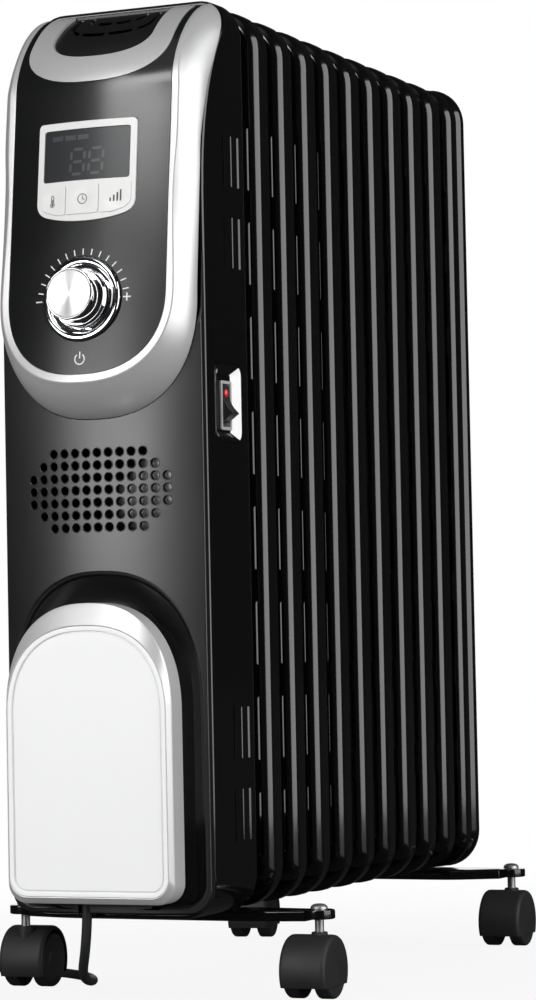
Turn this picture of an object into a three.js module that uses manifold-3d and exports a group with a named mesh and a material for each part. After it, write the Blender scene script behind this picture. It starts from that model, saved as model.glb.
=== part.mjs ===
// Oil filled radiator heater: eleven pressed steel fins behind a control housing, on four twin-wheel
// casters. Millimetres, +Z up, the control panel faces -Y, the rocker switch is on the +X side.
// The floor is z = 0. Places along Y are measured from the front edge of the radiator's own frame,
// and one group at the end moves the whole heater so that its middle stands on the origin.
import * as THREE from "three";
import { mergeVertices } from "three/addons/utils/BufferGeometryUtils.js";
import Module from "manifold-3d";

const wasm = await Module();
wasm.setup();

// Driving dimensions
const gap = 0.3;
const overrun = 3;
const facetTolerance = 0.002;
const bodyHalfWidth = 75;
const bodyTop = 652;
const bodyBottom = 57;
// Heights up the front, each as a share of the body's top
const coverHornTopShare = 0.83589;
const holeCentreShare = 0.50982;
const recessTopShare = 0.42485;
const recessShoulderShare = 0.29141;
const consoleFootShare = 0.6227;
const consoleBendShare = 0.90798;
const panelCornerShare = 0.70706;
const surroundFootShare = 0.57975;
const archBottomShare = 0.91641;
const archInnerShare = 0.94402;
const archShoulderShare = 0.96012;
const archInnerShoulderShare = 0.96933;
const ventOuterShare = 0.95475;
const ventInnerShare = 0.96549;
const cleatTopShare = 0.39801;
const cleatFaceTopShare = 0.37669;
const cleatShoulderShare = 0.28528;
const coreTopShare = 0.34049;
const pocketLowShare = 0.55521;
// Heights up the console's leaning part, each as a share of that part's length
const bezelTopShare = 0.88817;
const bezelSideLowShare = 0.58517;
const bezelBottomShare = 0.53547;
const windowLowShare = 0.67869;
const windowHighShare = 0.86252;
const keyStripLowShare = 0.55845;
const keyStripHighShare = 0.66372;
const knobHeightShare = 0.26132;
const boardLowShare = 0.16032;
const boardHighShare = 0.8871;
const bodyCorner = 28;
const finCount = 11;
const finPitch = 40;
const firstFinY = 80;
const finSheet = 2;
const finWall = 1.6;
const flangeDepth = 20;
const endDepth = 14;
const endOverlap = 4;
const chamberInset = 27;
const chamberHalfWidth = bodyHalfWidth - chamberInset;
const chamberMargin = 34;
const chamberCorner = 24;
const chamberFront = 6;
const chamberRear = 9;
const hubRadius = 29;
const hubSides = 8;
const hubInset = 50;
const hubBore = 15;
const boreDepth = 5;

const elementPlateRadius = 22;
const elementPlate = 5;
const elementRadius = 4;
const elementSpacing = 13;
const terminalRadius = 1.6;
const terminalLength = 7;
const cutoutRadius = 8;
const cutoutDepth = 9;

const housingFrontY = 0;
const housingRearY = 60;
const housingWall = 1.6;
const housingBottom = 56;
const housingCorner = 25;
const edgeRise = 132;
const edgeHandle = 40;
const edgeReach = 8;
const edgeDrop = 47;
const edgeEndDrop = 7;
const edgeEndBack = 2;
const sideSlotWidth = 1.6;
const sideSlotHeight = 34.5;
const sideSlotPlacesY = [30, 40, 49.5];
const sideSlotShares = [0.81166, 0.7296, 0.24018, 0.1589];
const sideSlotPlacesZ = sideSlotShares.map((share) => bodyTop * share);

const coverFrontY = -14;
const coverSag = 9;
const coverWall = 2.5;
const coverBottom = 60;
const coverCorner = 15;
const coverHornTop = bodyTop * coverHornTopShare;
const coverBevel = 2.4;
const holePitch = 8.05;
const holeRadius = 2.35;
const holeCentreZ = bodyTop * holeCentreShare;
const holeRows = [9, 11, 13, 13, 13, 11, 9];

const recessInset = 8.5;
const recessHalfWidth = bodyHalfWidth - recessInset;
const recessBottom = 66;
const recessTop = bodyTop * recessTopShare;
const recessShoulder = bodyTop * recessShoulderShare;
const recessFloorY = -1;
const recessSkin = 2.2;
const recessCorner = 13;

const consoleFootY = -37;
const consoleFootZ = bodyTop * consoleFootShare;
const consoleBendY = -16.5;
const consoleBendZ = bodyTop * consoleBendShare;
const consoleRearY = 46;
const leanLength = Math.hypot(consoleBendY - consoleFootY, consoleBendZ - consoleFootZ);
const crownHandle = 24;
const crownReach = 30;
const crownDrop = 6;
const consoleSag = 6.2;
const crownSagPower = 1.3;
const panelInset = 18.5;
const panelHalfWidth = bodyHalfWidth - panelInset;
const panelCornerZ = bodyTop * panelCornerShare;
const panelWall = 2.5;
const rimWidth = 5.5;
const rimShare = 0.4;
const bulgeShare = 0.08;
const surroundWall = 2.5;
const surroundFootZ = bodyTop * surroundFootShare;
const surroundInset = 3;
const surroundHalfWidth = bodyHalfWidth - surroundInset;
const roundPower = 2.4;
const cornerShares = [0, 0.2, 0.4, 0.6, 0.8, 0.94];
// Surround's outer edge above the panel's corner: its console station, then its half width, its place
// back and its drop from the top, each as a share of the size that it follows.
const surroundEdgeShares = [
  [0.6, 0.96, 0.004, 1.9],
  [0.8, 0.967, 0.05, 1.5],
  [1, 0.982, 0.24, 0.97],
  [1.25, 0.986, 0.45, 0.66],
  [1.5, 0.977, 0.7, 0.35],
  [1.75, 0.92, 0.86, 0.145],
  [2, 0.8, 1, 0.01],
];

const archInset = 4.5;
const archHalfWidth = panelHalfWidth - archInset;
const archBottomZ = bodyTop * archBottomShare;
const archBand = 15.5;
const archInnerHalf = archHalfWidth - archBand;
const archInnerZ = bodyTop * archInnerShare;
const archShoulderZ = bodyTop * archShoulderShare;
const archInnerShoulderZ = bodyTop * archInnerShoulderShare;
const ventSlotWidth = 2.4;
const ventRib = 3;
const ventRibShares = [-0.68, 0, 0.68];
const ventSunk = 1.4;
const ventOuterInset = 9;
const ventOuterHalf = archInnerHalf - ventOuterInset;
const ventOuterZ = bodyTop * ventOuterShare;
const ventInnerInset = 18.5;
const ventInnerHalf = archInnerHalf - ventInnerInset;
const ventInnerZ = bodyTop * ventInnerShare;
const trimProud = 0.5;

const bezelInset = 21.1;
const bezelHalfWidth = panelHalfWidth - bezelInset;
const bezelTop = leanLength * bezelTopShare;
const bezelSideLow = leanLength * bezelSideLowShare;
const bezelBottom = leanLength * bezelBottomShare;
const bezelCorner = 3;
const bezelProud = 1.2;
const windowInset = 4.2;
const windowHalfWidth = bezelHalfWidth - windowInset;
const windowLow = leanLength * windowLowShare;
const windowHigh = leanLength * windowHighShare;
const keyStripLow = leanLength * keyStripLowShare;
const keyStripHigh = leanLength * keyStripHighShare;
const keyEdgeShares = [-0.9548, -0.37853, 0.29661, 0.9548];
const keyEdges = keyEdgeShares.map((share) => bezelHalfWidth * share);
const keyProud = 1.7;
const keyDepth = 3.4;
const keyCorner = 2;
const keyMargin = 2.4;
const windowProud = 0.7;
const windowSheet = 2.2;
const bezelDepth = 4;

const knobHeight = leanLength * knobHeightShare;
const knobSides = 18;
const ringRadius = 27.8;
const ringFront = 2.2;
const ringBack = 3;
const ringLand = 8;
const ringWellRadius = ringRadius - ringLand;
const ringFloor = 1.5;
const ringStep = 1.3;
const ringBand = 4.4;
const knobClear = 0.6;
const knobBaseRadius = ringWellRadius - knobClear;
const knobTaper = 2.6;
const knobRadius = knobBaseRadius - knobTaper;
const knobFace = 18.5;
const knobDish = 0.5;
const knobBack = 1.2;
const knobSkirt = 2.6;
const knobStep = 1.5;
const spindleRadius = 3;
const spindleEnd = 9;
const bushRadius = 4.4;
const bushFront = 3.5;
const encoderSize = 14;
const encoderFront = 5.1;

const boardInset = 14.5;
const boardHalfWidth = panelHalfWidth - boardInset;
const boardLow = leanLength * boardLowShare;
const boardHigh = leanLength * boardHighShare;
const boardSheet = 1.6;
const boardDepth = 12.4;
const moduleFront = 6.4;
const postInset = 4;
const postRadius = 2.5;

const cleatFaceY = -37;
const cleatBackY = -18;
const cleatInset = 7;
const cleatHalfWidth = recessHalfWidth - cleatInset;
const cleatFaceInset = 2;
const cleatFaceHalf = cleatHalfWidth - cleatFaceInset;
const cleatBottom = 67.6;
const cleatTop = bodyTop * cleatTopShare;
const cleatFaceBottom = 71.5;
const cleatFaceTop = bodyTop * cleatFaceTopShare;
const cleatShoulder = bodyTop * cleatShoulderShare;
const cleatCorner = 13;
const cleatSideY = -32.5;
const cleatBead = 4;
const cleatGroove = 1.3;
const cleatGrooveRun = 1.2;
const coreCorner = 10;
const coreInset = 23.5;
const coreHalfWidth = cleatHalfWidth - coreInset;
const coreTop = bodyTop * coreTopShare;

const pocketFrontY = 12;
const pocketRearY = 49.4;
const pocketLow = bodyTop * pocketLowShare;
const pocketHeight = 51.4;
const pocketHigh = pocketLow + pocketHeight;
const pocketCorner = 7;
const pocketDepth = 3.5;
const pocketSkin = 1.5;
const pocketRim = 0.7;
const pocketSlopeFront = 9;
const pocketSlopeRear = 9.6;
const pocketSlopeEnd = 6.6;
const pocketFloorCorner = 2;
const switchFrontY = 24.6;
const switchRearY = 39.1;
const switchRise = 8.2;
const switchLow = pocketLow + switchRise;
const switchHeight = 32;
const switchHigh = switchLow + switchHeight;
const switchFrame = 1.2;
const switchRim = 2;
const switchShoulder = 0.9;
const switchDepth = 17;
const switchFloor = 2;
const rockerSideGap = 0.6;
const rockerPivotIn = 11;
const rockerPinRadius = 1.6;
const rockerTop = 12.6;
const rockerFace = 9.4;
const rockerNose = 16.5;
const rockerNoseDrop = 5.4;
const rockerHeel = 11;
const rockerBack = 2.5;
const rockerHeelShare = 0.93;
// The rocker's worn-in face: its reach and its height, each as a share of the face's and the top's.
const rockerFaceShares = [
  [1, 1],
  [0.99, 0.6],
  [1.07, 0.25],
  [1.33, -0.1],
];
const lensHalfWidth = 2.4;
const lensHalfHeight = 3;
const lensRise = 8;
const lensDepth = 5;
const lensProud = 0.5;

const stemOffset = 34;
const stemX = bodyHalfWidth + stemOffset;
const frontStemY = 80;
const rearStemY = 447;
const stemRadius = 3;
const stemFoot = 22;
const stemSides = 10;
const stemHeadRadius = 5.75;
const stemHeadHeight = 3.6;
// The stem's domed head: its radius and its height, each as a share of the head's.
const stemHeadShares = [
  [1, 0],
  [1, 0.33],
  [0.75, 0.8],
  [0.3, 1],
];
const bracketSheet = 2.4;
const bracketLip = 7.4;
const bracketNearHalf = 10.5;
const bracketFlatInset = 5;
const bracketFlatHalf = bodyHalfWidth - bracketFlatInset;
const bracketTipInset = 6;
const bracketHalfLength = stemX - bracketTipInset;
const bracketTipHalf = 8;
const discRadius = 10.5;
const discThickness = 6;
const boltOffset = 9.2;
const boltMargin = 6.6;
const boltRadius = 2;
const rearBoltShift = 3;
const nutRadius = 4;
const nutHeight = 3;
const boltTail = 2;

const wheelRadius = 18.3;
const wheelWidth = 10;
const wheelSpacing = 21.5;
const wheelEdge = 1.6;
const wheelSides = 12;
const axleRadius = 3;
const runningGap = 0.4;
const hoodRadius = 23.3;
const hoodHalfWidth = 16;
const hoodOpenZ = 8.5;
const webHalf = 4.9;
const casterTrail = 12;
const collarRadius = 5.4;
const collarTop = 42.2;
const collarHeight = 7;
const hoodSides = 14;
const hoodClear = 2.2;
const wheelCap = 2.2;
const wheelRim = 3.6;
const wheelDish = 0.9;
const swivelDegrees = { front_left: 4, front_right: 2, rear_left: 10, rear_right: 2 };
const trailShares = { front_left: 1, front_right: -1, rear_left: 1, rear_right: -1 };

const cordDiameter = 6.5;
const cordLength = 1500;
const cordSides = 8;
const runSteps = 34;
const cordExitX = -15.3;
const cordExitY = -9.6;
const cordExitZ = 67.2;
const reliefLength = 25;
const reliefTipRadius = 3.9;
const reliefRadius = 5.4;
const reliefCollarRadius = 6.6;
const reliefCollar = 5;
const outletHalfWidth = 9.5;
const outletHeight = 11;
const outletFrontY = -17.4;
const notchHalf = 4.4;
const coreClear = 8.5;
const coreBottom = cordExitZ + reliefLength + gap + outletHeight + coreClear;
const coilTurns = 5.25;
const coilPitch = 7.1;
const coilLift = 4.45;
const coilLoopSteps = 24;
const coilSides = 6;
const plugRise = 18.6;
const plugTail = 12;
const plugRadius = 18.5;
const plugSides = 12;
const plugRelief = 28;
const plugShoulder = 8;
const plugBody = 30;
const plugNose = 4;
const pinRadius = 2.4;
const pinSpacing = 19;
const pinLength = 19;
const tieHalfWidth = 3;
const tieSlack = 0.5;

const materials = {
  enamel: { color: 0x0a0a0b, roughness: 0.22, metalness: 0.35 },
  coverBlack: { color: 0x101011, roughness: 0.34, metalness: 0 },
  panelGrey: { color: 0x2a2b2d, roughness: 0.42, metalness: 0 },
  silver: { color: 0xc9cacb, roughness: 0.34, metalness: 0.6 },
  pearl: { color: 0xdedddb, roughness: 0.4, metalness: 0.1 },
  smoke: { color: 0x26292b, roughness: 0.12, metalness: 0 },
  chrome: { color: 0xd8d9da, roughness: 0.08, metalness: 1 },
  board: { color: 0x1f5b33, roughness: 0.6, metalness: 0 },
  zinc: { color: 0xb9bdc1, roughness: 0.3, metalness: 1 },
  casterBlack: { color: 0x161617, roughness: 0.6, metalness: 0 },
  red: { color: 0xc4161c, roughness: 0.2, metalness: 0 },
  whitePlastic: { color: 0xe4e5e6, roughness: 0.35, metalness: 0.1 },
  cordBlack: { color: 0x1c1d1e, roughness: 0.55, metalness: 0 },
  brass: { color: 0xb08d4f, roughness: 0.35, metalness: 1 },
};

// Solids and meshes
function solid(geometry) {
  const bare = geometry.clone();
  bare.deleteAttribute("normal");
  bare.deleteAttribute("uv");
  const merged = mergeVertices(bare);
  const mesh = new wasm.Mesh({
    numProp: 3,
    vertProperties: new Float32Array(merged.attributes.position.array),
    triVerts: new Uint32Array(merged.index.array),
  });
  mesh.merge();
  return new wasm.Manifold(mesh);
}

function toGeometry(manifold) {
  const mesh = manifold.asOriginal().simplify(facetTolerance).getMesh();
  const geometry = new THREE.BufferGeometry();
  geometry.setAttribute("position", new THREE.BufferAttribute(new Float32Array(mesh.vertProperties), 3));
  geometry.setIndex(new THREE.BufferAttribute(new Uint32Array(mesh.triVerts), 1));
  geometry.computeVertexNormals();
  return geometry;
}

function piece(name, shape, finish) {
  const geometry = shape.isBufferGeometry ? shape : toGeometry(shape);
  const mesh = new THREE.Mesh(geometry, new THREE.MeshStandardMaterial(materials[finish]));
  mesh.name = name;
  return mesh;
}

// Shape helpers. A shape drawn in XZ is pushed along Y, one drawn in YZ along X, one in XY along Z.
const alongY = new THREE.Matrix4().makeBasis(
  new THREE.Vector3(1, 0, 0),
  new THREE.Vector3(0, 0, 1),
  new THREE.Vector3(0, -1, 0),
);
const alongX = new THREE.Matrix4().makeBasis(
  new THREE.Vector3(0, 1, 0),
  new THREE.Vector3(0, 0, 1),
  new THREE.Vector3(1, 0, 0),
);

function prism(shape, depth, curveSegments) {
  return new THREE.ExtrudeGeometry(shape, { depth, bevelEnabled: false, curveSegments });
}

function prismY(shape, fromY, toY, curveSegments = 2) {
  return prism(shape, toY - fromY, curveSegments).applyMatrix4(alongY).translate(0, toY, 0);
}

function prismX(shape, fromX, toX, curveSegments = 2) {
  return prism(shape, toX - fromX, curveSegments).applyMatrix4(alongX).translate(fromX, 0, 0);
}

function prismZ(shape, fromZ, toZ, curveSegments = 2) {
  return prism(shape, toZ - fromZ, curveSegments).translate(0, 0, fromZ);
}

function box(fromX, toX, fromY, toY, fromZ, toZ) {
  const geometry = new THREE.BoxGeometry(toX - fromX, toY - fromY, toZ - fromZ);
  return geometry.translate((fromX + toX) / 2, (fromY + toY) / 2, (fromZ + toZ) / 2);
}

// A round bar along Y, X or Z between two places on its axis.
function barY(radius, fromY, toY, x, z, sides) {
  const geometry = new THREE.CylinderGeometry(radius, radius, toY - fromY, sides);
  return geometry.translate(x, (fromY + toY) / 2, z);
}

function barX(radius, fromX, toX, y, z, sides) {
  const geometry = new THREE.CylinderGeometry(radius, radius, toX - fromX, sides);
  return geometry.rotateZ(Math.PI / 2).rotateX(Math.PI / sides).translate((fromX + toX) / 2, y, z);
}

function barZ(radius, fromZ, toZ, x, y, sides) {
  const geometry = new THREE.CylinderGeometry(radius, radius, toZ - fromZ, sides);
  return geometry.rotateX(Math.PI / 2).translate(x, y, (fromZ + toZ) / 2);
}

function lathe(points, sides) {
  return new THREE.LatheGeometry(points.map(([radius, height]) => new THREE.Vector2(radius, height)), sides);
}

function polygon(points) {
  return new THREE.Shape(points.map(([x, y]) => new THREE.Vector2(x, y)));
}

function roundedRect(fromX, toX, fromY, toY, radius) {
  const shape = new THREE.Shape();
  shape.moveTo(fromX + radius, fromY);
  shape.lineTo(toX - radius, fromY);
  shape.absarc(toX - radius, fromY + radius, radius, -Math.PI / 2, 0, false);
  shape.lineTo(toX, toY - radius);
  shape.absarc(toX - radius, toY - radius, radius, 0, Math.PI / 2, false);
  shape.lineTo(fromX + radius, toY);
  shape.absarc(fromX + radius, toY - radius, radius, Math.PI / 2, Math.PI, false);
  shape.lineTo(fromX, fromY + radius);
  shape.absarc(fromX + radius, fromY + radius, radius, Math.PI, Math.PI * 1.5, false);
  return shape;
}

// A quarter of a squarish round, from the side (share 0) to the end (share 1).
function roundQuarter(halfWidth, reach, share) {
  const angle = (share * Math.PI) / 2;
  return [
    halfWidth * Math.pow(Math.max(Math.cos(angle), 0), 2 / roundPower),
    reach * Math.pow(Math.max(Math.sin(angle), 0), 2 / roundPower),
  ];
}

// An arch standing on two rounded corners, drawn in XZ, counter-clockwise from its bottom left.
function archPoints(halfWidth, bottom, shoulder, top, corner, steps, cornerSteps) {
  const right = [];
  for (let step = 0; step <= cornerSteps; step += 1) {
    const angle = (step / cornerSteps - 1) * (Math.PI / 2);
    right.push([halfWidth - corner + corner * Math.cos(angle), bottom + corner + corner * Math.sin(angle)]);
  }
  for (let step = 0; step < steps; step += 1) {
    const [x, rise] = roundQuarter(halfWidth, top - shoulder, step / steps);
    right.push([x, shoulder + rise]);
  }
  const left = right.map(([x, z]) => [-x, z]).reverse();
  return [...right, [0, top], ...left];
}

// A solid through a row of stations, each a closed ring of points. Its ends are capped as a fan, or as
// a strip between the ring's outer and inner halves.
function loft(rings, cap) {
  const count = rings[0].length;
  const positions = [];
  rings.forEach((ring) => ring.forEach((point) => positions.push(point.x, point.y, point.z)));
  const index = [];
  for (let row = 0; row < rings.length - 1; row += 1) {
    for (let column = 0; column < count; column += 1) {
      const side = (column + 1) % count;
      const a = row * count + column;
      const b = row * count + side;
      const c = (row + 1) * count + side;
      const d = (row + 1) * count + column;
      index.push(a, b, c, a, c, d);
    }
  }
  const foot = (rings.length - 1) * count;
  if (cap === "fan") {
    for (let column = 1; column < count - 1; column += 1) {
      index.push(0, column + 1, column);
      index.push(foot, foot + column, foot + column + 1);
    }
  } else {
    for (let column = 0; column < count / 2 - 1; column += 1) {
      const back = count - 1 - column;
      index.push(column + 1, column, back, column + 1, back, back - 1);
      index.push(foot + column, foot + column + 1, foot + back);
      index.push(foot + column + 1, foot + back - 1, foot + back);
    }
  }
  const geometry = new THREE.BufferGeometry();
  geometry.setAttribute("position", new THREE.Float32BufferAttribute(positions, 3));
  geometry.setIndex(index);
  return geometry;
}

// Turns a geometry inside out where its solid comes out with a negative volume.
function outward(geometry) {
  const trial = geometry.index ? geometry : mergeVertices(geometry);
  const place = trial.attributes.position;
  const order = trial.index;
  let volume = 0;
  const a = new THREE.Vector3();
  const b = new THREE.Vector3();
  const c = new THREE.Vector3();
  for (let corner = 0; corner < order.count; corner += 3) {
    a.fromBufferAttribute(place, order.getX(corner));
    b.fromBufferAttribute(place, order.getX(corner + 1));
    c.fromBufferAttribute(place, order.getX(corner + 2));
    volume += a.dot(b.cross(c));
  }
  if (volume < 0) {
    const turned = [];
    for (let corner = 0; corner < order.count; corner += 3) {
      turned.push(order.getX(corner), order.getX(corner + 2), order.getX(corner + 1));
    }
    trial.setIndex(turned);
  }
  return trial;
}

// The console's centre line seen from the side: a leaning straight, then a crown that rolls over to the top.
const leanStart = new THREE.Vector2(consoleFootY, consoleFootZ);
const leanEnd = new THREE.Vector2(consoleBendY, consoleBendZ);
const lean = leanEnd.clone().sub(leanStart).normalize();
const straightLine = new THREE.LineCurve(leanStart, leanEnd);
const crownLine = new THREE.CubicBezierCurve(
  leanEnd,
  leanEnd.clone().addScaledVector(lean, crownHandle),
  new THREE.Vector2(consoleRearY - crownReach, bodyTop - crownDrop),
  new THREE.Vector2(consoleRearY, bodyTop - gap),
);

// A station runs from 0 at the foot over 1 at the bend to 2 at the top rear edge.
function consoleStation(station) {
  const line = station <= 1 ? straightLine : crownLine;
  const share = station <= 1 ? station : station - 1;
  const point = line.getPoint(share);
  const run = line.getTangent(share);
  const sagShare = station <= 1 ? 1 : Math.pow(1 - share, crownSagPower);
  return { y: point.x, z: point.y, inY: run.y, inZ: -run.x, upY: run.x, upZ: run.y, sagShare };
}

function consolePoint(x, station, depth) {
  const place = consoleStation(station);
  const sag = consoleSag * place.sagShare * Math.pow(x / panelHalfWidth, 2);
  return new THREE.Vector3(x, place.y + place.inY * (sag + depth), place.z + place.inZ * (sag + depth));
}

function stationAtZ(z) {
  return (z - consoleFootZ) / (consoleBendZ - consoleFootZ);
}

// The housing's front edge seen from the side. It runs back where the console rolls over.
const housingEdge = new THREE.CubicBezierCurve(
  new THREE.Vector2(housingFrontY, bodyTop - edgeRise),
  new THREE.Vector2(housingFrontY, bodyTop - edgeRise + edgeHandle),
  new THREE.Vector2(housingFrontY + edgeReach, bodyTop - edgeDrop),
  new THREE.Vector2(consoleRearY - edgeEndBack, bodyTop - edgeEndDrop),
);

// Fins: a pressed plate with a rearward flange, an oil chamber and two collars that meet the next fin
const hubPlaces = [bodyBottom + hubInset, bodyTop - hubInset];
const elementZ = hubPlaces[0];
const lastFinY = firstFinY + finPitch * (finCount - 2);
const endPanelFrontY = lastFinY + flangeDepth - endOverlap;
const endPanelRearY = endPanelFrontY + endDepth;

function bodyOutline(inset) {
  return roundedRect(
    -bodyHalfWidth + inset,
    bodyHalfWidth - inset,
    bodyBottom + inset,
    bodyTop - inset,
    bodyCorner - inset,
  );
}

function finPlate(index) {
  const bendY = firstFinY + finPitch * index;
  const isLast = index === finCount - 2;
  const flangeEnd = isLast ? endPanelFrontY - gap : bendY + flangeDepth;
  const hubEnd = isLast ? endPanelRearY - finSheet - gap : bendY + flangeDepth;
  const chamber = roundedRect(
    -chamberHalfWidth,
    chamberHalfWidth,
    bodyBottom + chamberMargin,
    bodyTop - chamberMargin,
    chamberCorner,
  );
  let fin = solid(prismY(bodyOutline(0), bendY, flangeEnd))
    .subtract(solid(prismY(bodyOutline(finWall), bendY + finSheet, flangeEnd + overrun)))
    .add(solid(prismY(chamber, bendY - chamberFront, bendY + chamberRear, 1)));
  for (const place of hubPlaces) {
    fin = fin.add(solid(barY(hubRadius, bendY - flangeDepth + gap, hubEnd, 0, place, hubSides)));
  }
  const boreEnd = isLast ? bendY + boreDepth : bendY + flangeDepth + overrun;
  const bore = barY(hubBore, bendY - flangeDepth - overrun, boreEnd, 0, elementZ, 6);
  return fin.subtract(solid(bore));
}

function endPanel() {
  return solid(prismY(bodyOutline(0), endPanelFrontY, endPanelRearY)).subtract(
    solid(prismY(bodyOutline(finWall), endPanelFrontY - overrun, endPanelRearY - finSheet)),
  );
}

// Housing: a box open at the front, with side slots and the switch pocket's opening
function housingOutline(inset) {
  return roundedRect(
    -bodyHalfWidth + inset,
    bodyHalfWidth - inset,
    housingBottom + inset,
    bodyTop - inset,
    housingCorner - inset,
  );
}

function pocketOutline(inset) {
  return roundedRect(
    pocketFrontY + inset,
    pocketRearY - inset,
    pocketLow + inset,
    pocketHigh - inset,
    pocketCorner - inset,
  );
}

function housingShell() {
  const far = bodyHalfWidth + overrun;
  const edge = housingEdge.getPoints(6).map((point) => [point.x + gap, point.y]);
  const openFront = polygon([
    [consoleFootY - overrun, bodyTop - edgeRise],
    ...edge,
    [consoleRearY + gap * 3, bodyTop - edgeEndDrop],
    [consoleRearY + gap * 3, bodyTop + overrun],
    [consoleFootY - overrun, bodyTop + overrun],
  ]);
  let shell = solid(prismY(housingOutline(0), housingFrontY, housingRearY))
    .subtract(solid(prismY(housingOutline(housingWall), housingFrontY - overrun, housingRearY - housingWall)))
    .subtract(solid(prismX(openFront, -far, far)))
    .subtract(solid(prismX(pocketOutline(0), bodyHalfWidth - overrun, far)));
  for (const low of sideSlotPlacesZ) {
    for (const placeY of sideSlotPlacesY) {
      const fromY = placeY - sideSlotWidth / 2;
      shell = shell.subtract(
        solid(box(-far, far, fromY, fromY + sideSlotWidth, low, low + sideSlotHeight)),
      );
    }
  }
  const bore = barY(hubBore - gap, housingRearY - overrun, housingRearY + overrun, 0, elementZ, 8);
  return shell.subtract(solid(bore));
}

// Front cover: a curved sheet with the arched recess behind the cleat and the opening for the console
function coverY(x) {
  return coverFrontY + coverSag * Math.pow(x / bodyHalfWidth, 2);
}

function surroundOutline(clear) {
  const reach = panelCornerZ - surroundFootZ + clear;
  const right = [];
  for (const share of cornerShares) {
    const [x, drop] = roundQuarter(surroundHalfWidth + clear, reach, share);
    right.push([x, panelCornerZ - drop]);
  }
  const left = right.map(([x, z]) => [-x, z]).reverse();
  const high = coverHornTop + overrun;
  return polygon([
    [surroundHalfWidth + clear, high],
    ...right,
    ...left,
    [-surroundHalfWidth - clear, high],
  ]);
}

function coverSection(inset, backY) {
  const edgeX = bodyHalfWidth - coverBevel + (inset > 0 ? -inset : 0);
  const steps = 8;
  const front = [];
  for (let step = 0; step <= steps; step += 1) {
    const x = -edgeX + (2 * edgeX * step) / steps;
    front.push([x, coverY(x) + inset]);
  }
  if (inset > 0) {
    return polygon([[-edgeX, backY], ...front, [edgeX, backY]]);
  }
  const side = housingFrontY - gap;
  const bevelY = coverY(edgeX) + coverBevel;
  const ledge = recessHalfWidth + recessSkin;
  return polygon([
    [-ledge, backY],
    [-ledge, side],
    [-bodyHalfWidth, side],
    [-bodyHalfWidth, bevelY],
    ...front,
    [bodyHalfWidth, bevelY],
    [bodyHalfWidth, side],
    [ledge, side],
    [ledge, backY],
  ]);
}

function recessOutline(grow) {
  return polygon(
    archPoints(
      recessHalfWidth + grow,
      recessBottom - grow,
      recessShoulder,
      recessTop + grow,
      recessCorner + grow,
      6,
      2,
    ),
  );
}

function frontCover() {
  const backY = recessFloorY + recessSkin;
  const outline = new THREE.Shape();
  outline.moveTo(bodyHalfWidth, coverHornTop);
  outline.lineTo(-bodyHalfWidth, coverHornTop);
  outline.lineTo(-bodyHalfWidth, coverBottom + coverCorner);
  outline.absarc(
    -bodyHalfWidth + coverCorner,
    coverBottom + coverCorner,
    coverCorner,
    Math.PI,
    Math.PI * 1.5,
    false,
  );
  outline.absarc(
    bodyHalfWidth - coverCorner,
    coverBottom + coverCorner,
    coverCorner,
    Math.PI * 1.5,
    Math.PI * 2,
    false,
  );
  const deepY = coverFrontY - overrun;
  const hollow = solid(
    prismZ(coverSection(coverWall, backY + overrun), coverBottom - overrun, coverHornTop + overrun),
  ).subtract(solid(prismY(recessOutline(recessSkin), deepY, backY, 2)));
  const holes = [];
  holeRows.forEach((count, row) => {
    const z = holeCentreZ + ((holeRows.length - 1) / 2 - row) * holePitch;
    for (let place = 0; place < count; place += 1) {
      const x = (place - (count - 1) / 2) * holePitch;
      holes.push(solid(barY(holeRadius, deepY, housingFrontY, x, z, 6)));
    }
  });
  const outletLow = cordExitZ + reliefLength + gap;
  const outlet = solid(
    box(
      cordExitX - outletHalfWidth,
      cordExitX + outletHalfWidth,
      outletFrontY,
      backY,
      outletLow,
      outletLow + outletHeight,
    ),
  ).subtract(
    solid(
      barZ(
        reliefCollarRadius + gap * 2,
        outletLow - overrun,
        outletLow + reliefCollar + gap,
        cordExitX,
        cordExitY,
        12,
      ),
    ),
  );
  const notch = box(
    cordExitX - notchHalf,
    cordExitX + notchHalf,
    deepY,
    cordExitY + notchHalf,
    coverBottom - overrun,
    recessBottom + overrun,
  );
  return solid(prismZ(coverSection(0, backY), coverBottom, coverHornTop))
    .intersect(solid(prismY(outline, deepY, backY + overrun, 3)))
    .subtract(hollow)
    .subtract(solid(prismY(recessOutline(0), deepY, recessFloorY, 2)))
    .subtract(solid(prismY(surroundOutline(gap), deepY, backY + overrun, 2)))
    .subtract(wasm.Manifold.union(holes))
    .add(outlet)
    .subtract(solid(notch));
}

// Console: sheets that follow the leaning, rolled-over front
function sheetRing(halfWidth, station, outerDepth, innerDepth, columns = 8) {
  const ring = [];
  for (let column = 0; column <= columns; column += 1) {
    ring.push(consolePoint(-halfWidth + (2 * halfWidth * column) / columns, station, outerDepth));
  }
  for (let column = columns; column >= 0; column -= 1) {
    ring.push(consolePoint(-halfWidth + (2 * halfWidth * column) / columns, station, innerDepth));
  }
  return ring;
}

function consoleSheet(halfWidth, stations, outerDepth, innerDepth) {
  return solid(
    outward(loft(stations.map((at) => sheetRing(halfWidth, at, outerDepth, innerDepth)), "strip")),
  );
}

const crownStations = [1, 1.25, 1.5, 1.75, 2];

// A shape drawn on the console's straight part: x across, height up the slope, depth out of it.
const consoleFrame = new THREE.Matrix4()
  .makeBasis(
    new THREE.Vector3(1, 0, 0),
    new THREE.Vector3(0, lean.x, lean.y),
    new THREE.Vector3(0, -lean.y, lean.x),
  )
  .setPosition(0, consoleFootY, consoleFootZ);

function prismOut(shape, from, to, curveSegments = 2) {
  return prism(shape, to - from, curveSegments).translate(0, 0, from).applyMatrix4(consoleFrame);
}

function latheOut(points, sides, height) {
  return lathe(points, sides).rotateX(Math.PI / 2).translate(0, height, 0).applyMatrix4(consoleFrame);
}

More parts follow.
